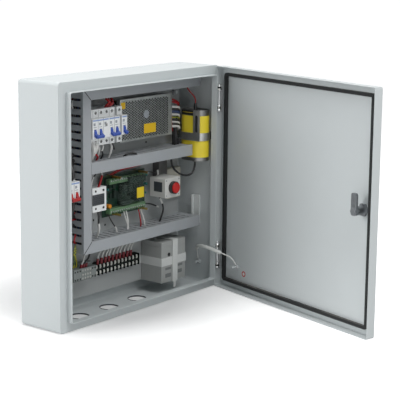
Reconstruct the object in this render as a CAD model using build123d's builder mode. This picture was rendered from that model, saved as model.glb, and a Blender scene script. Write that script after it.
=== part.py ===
from build123d import *

import os
from math import cos, radians, sin, tan

# Wall cabinet of a bollard controller, its door standing open. Millimetres throughout.
# The origin is the centre of the back face that lies on the wall. +Z is up, +X is to the right and
# the opening faces -Y. A depth is a distance forward from the wall, that is, along -Y.

overrun = 1.0                # how far a cut runs past the material
seat_gap = 0.1               # side play between pieces that slip together

# Cabinet body of folded and welded sheet steel
box_width = 550.0
box_height = 550.0
body_depth = 125.0
sheet = 1.5
body_corner = 8.0            # bend radius of the four long edges
back_edge = 7.0              # bend radius where the sides turn into the back
front_edge = 1.2             # small radius where the sides turn into the front flange
front_flange = 23.0          # flat rim round the opening
lip_depth = 15.0             # lip that turns forward from the rim into the door seal
lip_corner = 4.0
wall_hole = 9.0
wall_hole_inset = 40.0
cable_hole = 46.0
cable_hole_count = 3
cable_hole_pitch = 99.0
cable_hole_middle = -49.5    # middle of the row, from the box's middle
cable_hole_depth = 62.0
earth_stud = 6.0             # welded studs for the earth leads, on the right wall and on the door
earth_stud_length = 17.0
wall_stud_depth = 73.0
wall_stud_rise = 53.0        # above the box's base

# Mounting plate on welded studs with collars
plate_margin = 30.0          # box side to plate edge
plate_sheet = 2.0
plate_corner = 8.0
plate_depth = 24.0           # wall to the plate's front face
plate_stud = 8.0
plate_stud_collar = 14.0
plate_stud_tail = 11.0       # stud length in front of the plate
plate_stud_inset = 19.0      # from the plate's sides
plate_stud_drop = 40.0       # from its top and bottom
plate_nut_flats = 13.0
plate_nut_height = 6.5

# Door pan, drawn in its own plane and swung open about the hinge axis
door_open = 75.0             # degrees from closed
door_margin = 1.5            # door smaller than the body on each side
door_gap = 2.5               # closed door rim to body front
door_depth = 22.5
door_sheet = 1.5
door_corner = 5.0
hinge_in = 6.9               # hinge axis inside the body's right side
hinge_out = 8.5              # hinge axis in front of the body's front
gasket_inset = 16.0
gasket_width = 7.5
gasket_corner = 8.0
gasket_clear = 0.5           # closed seal to lip
door_stud_along = 62.0       # earth stud, from the hinge axis
door_stud_rise = 60.0        # above the box's base

# Two hinges, each with a leaf on the body, a leaf on the door and a pin
hinge_height = 66.0
hinge_inset = 80.0           # hinge middle from the box's top and base
hinge_sheet = 1.8
knuckle_radius = 3.5
end_knuckle = 17.0
knuckle_play = 0.4           # end play between knuckles
pin_radius = 2.0
pin_play = 0.05
pin_head_radius = 3.0
pin_head = 1.5
body_leaf_width = 11.0
body_leaf_edge = 4.6         # leaf edge from the body's side
body_leaf_web = 2.4
door_leaf_clear = 4.6        # leaf edge in front of the end knuckles
door_leaf_width = 9.0
door_notch = 4.2             # door flange cut back behind the knuckles
door_notch_play = 1.0

# Quarter turn cam lock near the free edge
lock_inset = 43.6
lock_height = 4.0
lock_radius = 10.0
lock_head_radius = 14.0
lock_head = 3.0
lock_key_slot = 3.0
lock_key_length = 12.0
lock_nut_flats = 26.0
lock_nut_height = 5.0
cam_reach = 40.0
cam_tail = 10.0
cam_width = 17.0
cam_sheet = 5.0
cam_corner = 5.5
cam_clear = 1.0              # closed cam to the back of the front flange
cam_rib = 1.0                # depth of the grooves along the cam
cam_groove = 2.0
cam_groove_pitch = 4.4
cam_groove_count = 3
cam_shaft = 5.0
cam_shaft_length = 6.0
cam_shaft_play = 0.05
cam_boss = 8.0
cam_boss_height = 2.5

# Slotted wiring ducts with snap-on covers, mitred at the two left corners
duct_width = 26.0
duct_depth = 66.0
duct_sheet = 1.6
cover_sheet = 1.4
cover_skirt = 7.0
duct_slot = 5.5
duct_slot_pitch = 18.0
duct_slot_foot = 13.0        # unslotted height next to the plate
duct_end_land = 12.0         # unslotted length at each end
mitre_gap = 1.0
duct_left_edge = -163.0      # outer side of the upright duct
duct_end_gap = 21.5          # right wall to the ends of the top and lower ducts
duct_middle_gap = 1.5        # can strap to the end of the middle duct
duct_top_over = 4.0          # top duct past the plate's edge
middle_spare_share = 0.5656  # share of the spare height that lies below the middle duct

# Top-hat rails
rail_height = 35.0
rail_crown = 27.0
rail_depth = 7.5
rail_sheet = 1.0
rail_upper_share = 0.532     # place in the bay between middle and top duct
rail_upper_length = 120.0
rail_middle_share = 0.575    # place in the bay between lower and middle duct
rail_middle_length = 72.0
rail_left_share = 0.551      # place on the plate's height
rail_left_gap = 25.5         # left wall to the rail's end
rail_left_play = 9.0         # rail to upright duct
rail_lower_rise = 68.5       # above the plate's lower edge
rail_lower_start = -172.0
rail_lower_length = 84.0
device_play = 3.0            # upright duct to the first device

# Circuit breakers
pole = 18.0
breaker_height = 82.0
breaker_shoulder = 44.0      # rail front to terminal faces
breaker_nose = 60.0          # rail front to nose
nose_height = 45.0
breaker_edge = 1.0
breaker_split = 0.3          # gap between neighbours
single_gap = 7.0             # space before the single pole breaker
terminal_hole = 5.0
terminal_hole_depth = 6.0
terminal_hole_height = 33.0  # above and below the rail centre
rcd_poles = 3
double_poles = 2
toggle_axis = 6.0            # pivot behind the nose
toggle_drop = 9.0            # pivot below the nose's middle
toggle_drum = 8.0
toggle_width = 7.0
toggle_slot_play = 0.5
toggle_reach = 17.0
toggle_thick = 6.0
toggle_bar = 5.0             # radial height of the bar that ties two poles
toggle_angle = 32.0          # degrees below level, switched off
left_device_gap = 13.0       # far left device to upright duct
test_button_size = 5.0
test_button_proud = 1.2
test_button_length = 6.0
test_button_play = 0.2
test_button_height = 7.0     # above the nose's middle

# Enclosed power supply with a perforated cover
psu_left = -12.0
psu_length = 185.0
psu_tail = 18.0              # open terminal end
psu_share = 0.674            # share of the bay's spare height below it
psu_height = 98.0
psu_depth = 40.0
psu_sheet = 1.2
psu_skirt = 10.0
mesh_hole = 7.0
mesh_pitch_along = 16.0
mesh_pitch_up = 14.0
mesh_columns = 10
mesh_rows = 6
psu_terminal_height = 76.0
psu_terminal_depth = 18.0
psu_terminal_pitch = 8.3
psu_terminal_count = 9
psu_terminal_rib = 1.4
psu_terminal_step = 7.0

# Oval can with yellow sleeves in a wall strap
can_width = 48.0
can_depth = 74.0
can_drop = 15.0              # can base below the middle duct's lower side
can_height = 124.5
can_middle_depth = 77.0
can_rim = 2.5
can_sleeve = 0.6
can_sleeve_low = 9.0         # lower sleeve above the can's base
can_sleeve_head = 14.0       # upper sleeve below the can's top
can_lid_dish = 2.0
strap_sheet = 1.5
can_strap_rise = 50.0        # above the can's base
can_strap_height = 19.0
can_ear = 7.0
clip_width = 20.0
clip_slot = 8.0
clip_slot_length = 42.0
clip_slot_low = 2.0          # above the strap
clip_front = 110.0           # depth of the clip's front edge
can_boot_radius = 5.0
can_boot_length = 16.0
can_boot_taper = 6.0         # degrees
can_gland_radius = 6.0
can_gland_length = 5.0
lead_radius = 1.6
cable_radius = 2.5

# Control board on pillars behind a clear cover
board_left = -48.0
board_width = 150.0
board_share = 0.607          # share of the bay's spare height below it
board_height = 98.0
board_stand = 14.0
board_sheet = 1.6
pillar_radius = 3.0
pillar_inset = 5.0
board_cover_left = -18.0
board_cover_width = 104.0
board_cover_stand = 27.0     # board to cover
board_cover_sheet = 2.0
board_terminal_inset = 8.0
board_terminal_length = 126.0
board_terminal_height = 12.0
board_terminal_depth = 13.0
board_terminal_step = 4.0
board_terminal_notch = 5.5
board_terminal_pitch = 10.5
board_terminal_count = 11
relay_width = 15.0
relay_height = 19.0
relay_depth = 16.0
relay_pitch = 19.0
relay_count = 4
relay_left_share = 0.42
relay_up_share = 0.62
coil_radius = 5.0
coil_height = 9.0
coil_left_share = 0.12
coil_up_share = 0.26

# Contactor on the middle rail
contactor_width = 46.0
contactor_gap = 22.5         # upright duct to contactor
contactor_height = 56.0
contactor_shoulder = 40.0
contactor_front_height = 25.0
contactor_front_depth = 9.0
contactor_edge = 1.5
contactor_hole = 5.5
contactor_hole_pitch = 24.0
contactor_hole_depth = 5.0
contactor_hole_inset = 7.5

# Push button box on a channel bracket, and the receiver beside it
button_left = 116.0
button_width = 56.0
button_share = 0.579         # share of the bay's spare height below it
button_height = 47.0
button_depth = 48.0
button_edge = 2.5
knockout = 20.0
knockout_depth = 2.0
bracket_left = 150.0
bracket_width = 30.0
bracket_depth = 20.0
bracket_sheet = 1.5
bracket_gap = 10.0           # bracket to middle duct
bezel_radius = 15.0
bezel_height = 10.0
bezel_wall = 1.5
button_play = 0.4
button_travel = 4.0
button_proud = 3.0
button_cap_edge = 1.5
button_stem = 5.0
button_stem_play = 0.05
button_stem_length = 16.0    # stem inside the box
button_well = 24.0           # depth of its hole
receiver_left = 190.0
receiver_width = 53.0
receiver_share = 0.532       # share of the bay's spare height below it
receiver_height = 75.0
receiver_depth = 12.0
receiver_edge = 2.0

# Terminals along the bottom of the plate
strip_left = -77.0
strip_pitch = 12.8
strip_poles = 12
strip_rise = 47.0            # above the plate's lower edge
strip_height = 28.0
strip_base = 12.0
strip_fin = 20.0
strip_fin_sheet = 1.8
strip_spine = 4.0
slice_width = 8.0
slice_pitch = 8.2
slice_count = 9
slice_height = 40.0
slice_foot = 18.0
slice_step_height = 26.0
slice_depth = 31.0

# Sealed battery with crossed straps
battery_left = 107.0
battery_width = 90.0
battery_rise = 1.0           # above the plate's lower edge
battery_gap = 14.0           # posts to lower duct
battery_height = 100.0
battery_depth = 66.0
battery_edge = 2.0
battery_lid = 12.0
battery_groove = 0.8
battery_post = 6.0
battery_post_sheet = 1.2
battery_post_height = 6.0
battery_post_inset = 16.0
web_sheet = 1.2              # strap webbing
web_across_rise = 41.0       # above the battery's base
web_across_height = 20.0
web_foot = 12.0
web_upright_left = 145.5
web_upright_width = 19.0
web_tail_width = 8.0
web_tail_length = 15.0

# Upright bar on the right wall
bar_depth = 53.0
bar_width = 21.0
bar_top = -53.0
bar_length = 72.0
bar_sheet = 4.0
bar_bend = 10.0

# Earth nuts and the bonding lead between body and door
earth_nut_flats = 10.0
earth_nut_height = 5.0
wing_hub = 5.0
wing_span = 22.0
wing_height = 9.0
wing_sheet = 2.4
bond_radius = 3.0

# Leads, held at both ends. Each bend takes up this share of the shorter run beside it.
bend_share = 0.45
cable_steps = [              # from the middle of the can's base
    (-68, 20, 16.5), (-68, 20, -1), (-61, 18, -18), (-46, 13, -32),
    (-22, 6, -40), (-2, 0, -30), (0, 0, -5.1),
]
lead_foot_steps = [(0, 0, 14), (0, 0, 24), (-4, 3, 34)]              # from the middle of the can's top
lead_head_steps = [(-9, 7, -14), (-13, 11, -6), (-13, 11, 1.5)]      # from above it, under the top duct
bond_wall_steps = [          # from the wall stud's foot
    (-5.5, 0, 9), (-6.5, 2, 25), (-14.5, -5, 39), (-24.5, -27, 46),
]
bond_door_steps = [          # from the hinge axis, at the wall stud's height
    (-25.1, 8.5, 47), (-23.1, -15.5, 43), (-15.1, -35.5, 36), (-7.1, -53.5, 28), (-6.4, -62.5, 13),
]

# Worked out from the sizes above
wall_inner = box_width / 2 - sheet
open_width = box_width - 2 * front_flange
open_height = box_height - 2 * front_flange
wall_stud_height = wall_stud_rise - box_height / 2
door_stud_height = door_stud_rise - box_height / 2
hinge_apart = box_height - 2 * hinge_inset
plate_width = box_width - 2 * plate_margin
plate_height = box_height - 2 * plate_margin
plate_foot = -plate_height / 2
plate_stud_across = plate_width - 2 * plate_stud_inset
plate_stud_tall = plate_height - 2 * plate_stud_drop
axis_x = box_width / 2 - hinge_in
axis_y = -body_depth - hinge_out
swing = radians(door_open)
door_along = (-cos(swing), -sin(swing), 0)
door_inward = (-sin(swing), cos(swing), 0)
door_width = box_width - 2 * door_margin
door_height = box_height - 2 * door_margin
door_mid = door_width / 2 - (hinge_in - door_margin)
door_face = hinge_out - door_gap - door_depth        # outer face, measured inward from the hinge axis
door_skin = door_face + door_sheet
door_free = door_width - (hinge_in - door_margin)
gasket_height = hinge_out - lip_depth - gasket_clear - door_skin
lock_along = door_free - lock_inset
cam_depth = hinge_out + sheet + cam_clear
rail_face = plate_depth + rail_depth
duct_right_edge = duct_left_edge + duct_width
duct_right_end = wall_inner - duct_end_gap
battery_low = plate_foot + battery_rise
duct_lower_edge = battery_low + battery_height + battery_post_height + battery_gap
duct_lower_top = duct_lower_edge + duct_width
duct_top_edge = plate_height / 2 + duct_top_over
duct_spare = duct_top_edge - duct_lower_top - 2 * duct_width - board_height - psu_height
duct_middle_edge = duct_lower_top + board_height + middle_spare_share * duct_spare
duct_middle_top = duct_middle_edge + duct_width
lower_bay = duct_middle_edge - duct_lower_top
upper_bay = duct_top_edge - duct_width - duct_middle_top
rail_upper_height = duct_middle_top + rail_upper_share * upper_bay
rail_middle_height = duct_lower_top + rail_middle_share * lower_bay
rail_left_height = plate_foot + rail_left_share * plate_height
rail_left_start = rail_left_gap - wall_inner
rail_left_length = duct_left_edge - rail_left_play - rail_left_start
rail_lower_height = plate_foot + rail_lower_rise
left_device_edge = duct_left_edge - left_device_gap
psu_low = duct_middle_top + psu_share * (upper_bay - psu_height)
board_low = duct_lower_top + board_share * (lower_bay - board_height)
button_low = duct_lower_top + button_share * (lower_bay - button_height)
receiver_low = duct_lower_top + receiver_share * (lower_bay - receiver_height)
bracket_top = duct_middle_edge - bracket_gap
strip_low = plate_foot + strip_rise
web_across_low = battery_low + web_across_rise
device_left = duct_right_edge + device_play
nose_face = rail_face + breaker_nose
psu_face = plate_depth + psu_depth
psu_wall = psu_sheet + seat_gap
board_back = plate_depth + board_stand
board_face = board_back + board_sheet
board_cover_back = board_face + board_cover_stand
can_x = wall_inner - strap_sheet - can_width / 2
can_low = duct_middle_edge - can_drop
can_strap_low = can_low + can_strap_rise
can_top = can_low + can_height
duct_middle_end = can_x - can_width / 2 - strap_sheet - duct_middle_gap
button_back = plate_depth + bracket_depth
button_face = button_back + button_depth
button_x = button_left + button_width / 2
button_z = button_low + button_height / 2
battery_face = plate_depth + battery_depth

door_plane = Plane(origin=(axis_x, axis_y, 0), x_dir=door_along, z_dir=door_inward)
flange_plane = Plane(origin=(axis_x, axis_y, 0), x_dir=Vector(door_inward) * -1, z_dir=door_along)

os.makedirs("parts", exist_ok=True)


def keep(builder, name):
    """Label a finished piece and write it to its own file."""
    builder.part.label = name
    export_step(builder.part, f"parts/{name}.step")


def front(depth):
    """A plane facing the viewer at a depth from the wall: x is right, y is up."""
    return Plane.XZ.offset(depth)


def patch(left, right, low, high, mode=Mode.ADD):
    """A rectangle between four edges of the sketch being drawn."""
    with Locations(((left + right) / 2, (low + high) / 2)):
        Rectangle(right - left, high - low, mode=mode)


def block(left, right, low, high, back, face, mode=Mode.ADD):
    """A straight-sided block of the part being built, between two depths."""
    with BuildSketch(front(back)) as face_on:
        patch(left, right, low, high)
    extrude(face_on.sketch, amount=face - back, mode=mode)


def hexagon(flats):
    """A hexagon of the sketch being drawn, by its width across flats."""
    RegularPolygon(flats / 2, 6, major_radius=False)


# Cabinet body

with BuildPart() as hollow:
    with BuildSketch(front(sheet)):
        RectangleRounded(box_width - 2 * sheet, box_height - 2 * sheet, body_corner - sheet)
    extrude(amount=body_depth - 2 * sheet)
    fillet(hollow.faces().sort_by(Axis.Y)[-1].edges(), back_edge - sheet)

with BuildPart() as cabinet_shell:
    with BuildSketch(front(0)):
        RectangleRounded(box_width, box_height, body_corner)
    extrude(amount=body_depth)
    fillet(cabinet_shell.faces().sort_by(Axis.Y)[0].edges(), front_edge)
    fillet(cabinet_shell.faces().sort_by(Axis.Y)[-1].edges(), back_edge)
    add(hollow.part, mode=Mode.SUBTRACT)
    with BuildSketch(front(body_depth - sheet)):
        RectangleRounded(open_width + 2 * sheet, open_height + 2 * sheet, lip_corner + sheet)
    extrude(amount=sheet + lip_depth)
    with BuildSketch(front(body_depth - sheet - overrun)):
        RectangleRounded(open_width, open_height, lip_corner)
    extrude(amount=sheet + lip_depth + 2 * overrun, mode=Mode.SUBTRACT)
    with BuildSketch(Plane.XY.offset(-box_height / 2 - overrun)):
        with Locations((cable_hole_middle, -cable_hole_depth)):
            with GridLocations(cable_hole_pitch, cable_hole_pitch, cable_hole_count, 1):
                Circle(cable_hole / 2)
    extrude(amount=sheet + 2 * overrun, mode=Mode.SUBTRACT)
    with BuildSketch(front(-overrun)):
        with GridLocations(box_width - 2 * wall_hole_inset, box_height - 2 * wall_hole_inset, 2, 2):
            Circle(wall_hole / 2)
    extrude(amount=sheet + 2 * overrun, mode=Mode.SUBTRACT)
    with BuildSketch(front(sheet)):
        with GridLocations(plate_stud_across, plate_stud_tall, 2, 2):
            Circle(plate_stud_collar / 2)
    extrude(amount=plate_depth - plate_sheet - sheet)
    with BuildSketch(front(sheet)):
        with GridLocations(plate_stud_across, plate_stud_tall, 2, 2):
            Circle(plate_stud / 2)
    extrude(amount=plate_depth + plate_stud_tail - sheet)
    with BuildSketch(Plane.YZ.offset(wall_inner)):
        with Locations((-wall_stud_depth, wall_stud_height)):
            Circle(earth_stud / 2)
    extrude(amount=-earth_stud_length)
keep(cabinet_shell, "cabinet_shell")

with BuildPart() as wall_earth_nut:
    with BuildSketch(Plane.YZ.offset(wall_inner)):
        with Locations((-wall_stud_depth, wall_stud_height)):
            hexagon(earth_nut_flats)
            Circle(earth_stud / 2, mode=Mode.SUBTRACT)
    extrude(amount=-earth_nut_height)
keep(wall_earth_nut, "wall_earth_nut")

with BuildPart() as wall_bracket:
    bar_z = bar_top - bar_length / 2
    with BuildSketch(Plane.YZ.offset(wall_inner)):
        with Locations((-bar_depth - bar_width / 2, bar_z)):
            Rectangle(bar_width, bar_length)
    extrude(amount=-bar_sheet)
    with BuildSketch(Plane.YZ.offset(wall_inner)):
        with Locations((-bar_depth - bar_sheet / 2, bar_z)):
            Rectangle(bar_sheet, bar_length)
    extrude(amount=-bar_bend)
keep(wall_bracket, "wall_bracket")

# Mounting plate

with BuildPart() as mounting_plate:
    with BuildSketch(front(plate_depth - plate_sheet)):
        RectangleRounded(plate_width, plate_height, plate_corner)
        with GridLocations(plate_stud_across, plate_stud_tall, 2, 2):
            Circle(plate_stud / 2 + seat_gap, mode=Mode.SUBTRACT)
    extrude(amount=plate_sheet)
keep(mounting_plate, "mounting_plate")

with BuildPart() as plate_nuts:
    with BuildSketch(front(plate_depth)):
        with GridLocations(plate_stud_across, plate_stud_tall, 2, 2):
            hexagon(plate_nut_flats)
            Circle(plate_stud / 2, mode=Mode.SUBTRACT)
    extrude(amount=plate_nut_height)
keep(plate_nuts, "plate_nuts")

# Door

with BuildPart() as door_panel:
    with BuildSketch(door_plane.offset(door_face)):
        with Locations((door_mid, 0)):
            RectangleRounded(door_width, door_height, door_corner)
    extrude(amount=door_depth)
    outer_face = door_panel.faces().sort_by(Axis(door_plane.origin, door_plane.z_dir))[0]
    fillet(outer_face.edges(), front_edge)
    with BuildSketch(door_plane.offset(door_skin)):
        with Locations((door_mid, 0)):
            RectangleRounded(door_width - 2 * door_sheet, door_height - 2 * door_sheet,
                             door_corner - door_sheet)
    extrude(amount=door_depth, mode=Mode.SUBTRACT)
    rim = hinge_out - door_gap + overrun
    notch_half = hinge_height / 2 + door_notch_play
    with BuildSketch(flange_plane.offset(-(hinge_in - door_margin) - overrun)):
        with GridLocations(hinge_apart, hinge_apart, 1, 2):
            patch(-rim, door_notch, -notch_half, notch_half)
    extrude(amount=door_sheet + 2 * overrun, mode=Mode.SUBTRACT)
    with BuildSketch(door_plane.offset(door_face - overrun)):
        with Locations((lock_along, lock_height)):
            Circle(lock_radius + seat_gap)
    extrude(amount=door_sheet + 2 * overrun, mode=Mode.SUBTRACT)
    with BuildSketch(door_plane.offset(door_skin)):
        with Locations((door_stud_along, door_stud_height)):
            Circle(earth_stud / 2)
    extrude(amount=earth_stud_length)
keep(door_panel, "door_panel")

with BuildPart() as door_gasket:
    with BuildSketch(door_plane.offset(door_skin)):
        with Locations((door_mid, 0)):
            RectangleRounded(door_width - 2 * gasket_inset, door_height - 2 * gasket_inset, gasket_corner)
            inner_inset = gasket_inset + gasket_width
            Rectangle(door_width - 2 * inner_inset, door_height - 2 * inner_inset, mode=Mode.SUBTRACT)
    extrude(amount=gasket_height)
keep(door_gasket, "door_gasket")

with BuildPart() as door_earth_nut:
    stud_place = (door_stud_along, door_stud_height)
    with BuildSketch(door_plane.offset(door_skin)):
        with Locations(stud_place):
            Circle(wing_hub)
    extrude(amount=earth_nut_height)
    with BuildSketch(door_plane.offset(door_skin)):
        with Locations(stud_place):
            SlotOverall(wing_span, wing_sheet)
    extrude(amount=wing_height)
    with BuildSketch(door_plane.offset(door_skin)):
        with Locations(stud_place):
            Circle(earth_stud / 2)
    extrude(amount=wing_height + overrun, mode=Mode.SUBTRACT)
keep(door_earth_nut, "door_earth_nut")

# Hinges

with BuildPart() as hinge_body_leaves:
    leaf_right = box_width / 2 - body_leaf_edge
    leaf_left = leaf_right - body_leaf_width
    with BuildSketch(front(body_depth)):
        with GridLocations(hinge_apart, hinge_apart, 1, 2):
            patch(leaf_left, leaf_right, -hinge_height / 2, hinge_height / 2)
    extrude(amount=hinge_sheet)
    knuckle_feet = [
        side * hinge_apart / 2 + end
        for side in (-1, 1)
        for end in (-hinge_height / 2, hinge_height / 2 - end_knuckle)
    ]
    for foot in knuckle_feet:
        with BuildSketch(Plane.XY.offset(foot)):
            with Locations((axis_x, axis_y)):
                Circle(knuckle_radius)
            patch(axis_x - knuckle_radius, axis_x - knuckle_radius + body_leaf_web, axis_y, -body_depth)
            with Locations((axis_x, axis_y)):
                Circle(pin_radius, mode=Mode.SUBTRACT)
        extrude(amount=end_knuckle)
keep(hinge_body_leaves, "hinge_body_leaves")

with BuildPart() as hinge_door_leaves:
    middle_knuckle = hinge_height - 2 * end_knuckle - 2 * knuckle_play
    with BuildSketch(flange_plane.offset(-(hinge_in - door_margin - door_sheet))):
        with GridLocations(hinge_apart, hinge_apart, 1, 2):
            patch(door_leaf_clear, door_leaf_clear + door_leaf_width, -hinge_height / 2, hinge_height / 2)
            patch(0, door_leaf_clear, -middle_knuckle / 2, middle_knuckle / 2)
    extrude(amount=hinge_sheet)
    for side in (-1, 1):
        with BuildSketch(Plane.XY.offset(side * hinge_apart / 2 - middle_knuckle / 2)):
            with Locations((axis_x, axis_y)):
                Circle(knuckle_radius)
        extrude(amount=middle_knuckle)
        with BuildSketch(Plane.XY.offset(side * hinge_apart / 2 - middle_knuckle / 2)):
            with Locations((axis_x, axis_y)):
                Circle(pin_radius + pin_play)
        extrude(amount=middle_knuckle, mode=Mode.SUBTRACT)
keep(hinge_door_leaves, "hinge_door_leaves")

with BuildPart() as hinge_pins:
    for side in (-1, 1):
        pin_foot = side * hinge_apart / 2 - hinge_height / 2
        with BuildSketch(Plane.XY.offset(pin_foot)):
            with Locations((axis_x, axis_y)):
                Circle(pin_radius)
        extrude(amount=hinge_height)
        with BuildSketch(Plane.XY.offset(pin_foot + hinge_height)):
            with Locations((axis_x, axis_y)):
                Circle(pin_head_radius)
        extrude(amount=pin_head)
keep(hinge_pins, "hinge_pins")

# Lock

lock_place = (lock_along, lock_height)
barrel_end = cam_depth - seat_gap

with BuildPart() as lock_barrel:
    with BuildSketch(door_plane.offset(door_face - lock_head)):
        with Locations(lock_place):
            Circle(lock_head_radius)
            Rectangle(lock_key_slot, lock_key_length, mode=Mode.SUBTRACT)
    extrude(amount=lock_head)
    with BuildSketch(door_plane.offset(door_face)):
        with Locations(lock_place):
            Circle(lock_radius)
    extrude(amount=barrel_end - door_face)
    with BuildSketch(door_plane.offset(barrel_end - cam_shaft_length - seat_gap)):
        with Locations(lock_place):
            Circle(cam_shaft + cam_shaft_play)
    extrude(amount=cam_shaft_length + seat_gap, mode=Mode.SUBTRACT)
keep(lock_barrel, "lock_barrel")

with BuildPart() as lock_nut:
    with BuildSketch(door_plane.offset(door_skin)):
        with Locations(lock_place):
            hexagon(lock_nut_flats)
            Circle(lock_radius, mode=Mode.SUBTRACT)
    extrude(amount=lock_nut_height)
keep(lock_nut, "lock_nut")

with BuildPart() as lock_cam:
    with BuildSketch(door_plane.offset(cam_depth)):
        with Locations((lock_along, lock_height + (cam_reach - cam_tail) / 2)):
            RectangleRounded(cam_width, cam_reach + cam_tail, cam_corner)
    extrude(amount=cam_sheet)
    with BuildSketch(door_plane.offset(cam_depth + cam_sheet - cam_rib)):
        groove_low = lock_height + cam_boss + cam_groove
        groove_high = lock_height + cam_reach + overrun
        with Locations((lock_along, (groove_low + groove_high) / 2)):
            with GridLocations(cam_groove_pitch, cam_groove_pitch, cam_groove_count, 1):
                Rectangle(cam_groove, groove_high - groove_low)
    extrude(amount=cam_rib + overrun, mode=Mode.SUBTRACT)
    with BuildSketch(door_plane.offset(cam_depth + cam_sheet)):
        with Locations(lock_place):
            hexagon(2 * cam_boss - cam_groove)
    extrude(amount=cam_boss_height)
    with BuildSketch(door_plane.offset(barrel_end - cam_shaft_length)):
        with Locations(lock_place):
            Circle(cam_shaft)
    extrude(amount=cam_shaft_length + seat_gap)
keep(lock_cam, "lock_cam")

# Wiring ducts

duct_inner_width = duct_width - 2 * (cover_sheet + seat_gap)
duct_wall_top = duct_depth - cover_sheet


def duct_start(x, z, upright):
    """The plane at a duct's first end: x runs across the duct, y forward and z along it."""
    along = (0, 0, 1) if upright else (1, 0, 0)
    across = (-1, 0, 0) if upright else (0, 0, 1)
    return Plane(origin=(x, -plate_depth, z), x_dir=across, z_dir=along)


def cut_mitres(start, length, inner, ends):
    """Cut the named ends at 45 degrees; inner is the side, 1 or -1, where the duct is shorter."""
    flat = Plane(origin=start.origin, x_dir=start.z_dir, z_dir=start.y_dir)
    half = duct_width / 2 + overrun
    for end in ends:
        place = 0 if end == 0 else length
        turn = 1 if end == 0 else -1
        tip = place + turn * (mitre_gap / 2 - overrun)
        reach = place + turn * (mitre_gap / 2 + duct_width + overrun)
        with BuildSketch(flat.offset(-overrun)) as wedge:
            Polygon((tip, -inner * half), (tip, inner * half), (reach, inner * half), align=None)
        extrude(wedge.sketch, amount=duct_depth + 2 * overrun, dir=start.y_dir, mode=Mode.SUBTRACT)


def duct_channel(start, length):
    """A channel whose two walls are slotted into fingers, in the part being built."""
    half = duct_inner_width / 2
    with BuildSketch(start) as channel:
        patch(-half, half, 0, duct_wall_top)
        patch(-half + duct_sheet, half - duct_sheet, duct_sheet, duct_depth, mode=Mode.SUBTRACT)
    extrude(channel.sketch, amount=length)
    side = Plane(origin=start.origin, x_dir=start.z_dir, z_dir=start.z_dir.cross(start.y_dir))
    slots = int((length - 2 * duct_end_land) / duct_slot_pitch)
    with BuildSketch(side) as fingers:
        with Locations((length / 2, (duct_slot_foot + duct_depth) / 2)):
            with GridLocations(duct_slot_pitch, duct_slot_pitch, slots, 1):
                Rectangle(duct_slot, duct_depth - duct_slot_foot)
    extrude(fingers.sketch, amount=half + overrun, both=True, mode=Mode.SUBTRACT)


def duct_lid(start, length):
    """A cover that snaps over the fingers, in the part being built."""
    half = duct_width / 2
    with BuildSketch(start) as cap:
        patch(-half, half, duct_depth - cover_skirt, duct_depth)
        patch(-half + cover_sheet, half - cover_sheet, 0, duct_wall_top, mode=Mode.SUBTRACT)
    extrude(cap.sketch, amount=length)


duct_middle_x = duct_left_edge + duct_width / 2
upright_length = duct_top_edge - duct_lower_edge
across_length = duct_right_end - duct_left_edge
duct_runs = {
    "left": (duct_start(duct_middle_x, duct_lower_edge, True), upright_length, -1, (0, 1)),
    "top": (duct_start(duct_left_edge, duct_top_edge - duct_width / 2, False), across_length, -1, (0,)),
    "lower": (duct_start(duct_left_edge, duct_lower_edge + duct_width / 2, False), across_length, 1, (0,)),
    "middle": (
        duct_start(duct_right_edge + mitre_gap, duct_middle_edge + duct_width / 2, False),
        duct_middle_end - duct_right_edge - mitre_gap,
        1,
        (),
    ),
}
for run_name, (run_start, run_length, run_inner, run_ends) in duct_runs.items():
    with BuildPart() as duct:
        duct_channel(run_start, run_length)
        cut_mitres(run_start, run_length, run_inner, run_ends)
    keep(duct, f"duct_{run_name}")
    with BuildPart() as cover:
        duct_lid(run_start, run_length)
        cut_mitres(run_start, run_length, run_inner, run_ends)
    keep(cover, f"cover_{run_name}")

# Rails

rail_runs = (
    (device_left - device_play / 2, rail_upper_height, rail_upper_length),
    (device_left - device_play / 2, rail_middle_height, rail_middle_length),
    (rail_left_start, rail_left_height, rail_left_length),
    (rail_lower_start, rail_lower_height, rail_lower_length),
)
with BuildPart() as din_rails:
    for rail_start, rail_z, rail_length in rail_runs:
        end = Plane(origin=(rail_start, -plate_depth, rail_z), x_dir=(0, 0, 1), z_dir=(1, 0, 0))
        crown = rail_crown / 2
        with BuildSketch(end):
            patch(-crown, crown, 0, rail_depth)
            patch(-crown + rail_sheet, crown - rail_sheet, rail_sheet, rail_depth, mode=Mode.SUBTRACT)
            patch(-rail_height / 2, -crown + rail_sheet, rail_depth - rail_sheet, rail_depth)
            patch(crown - rail_sheet, rail_height / 2, rail_depth - rail_sheet, rail_depth)
        extrude(amount=rail_length)
keep(din_rails, "din_rails")

# Circuit breakers


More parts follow.
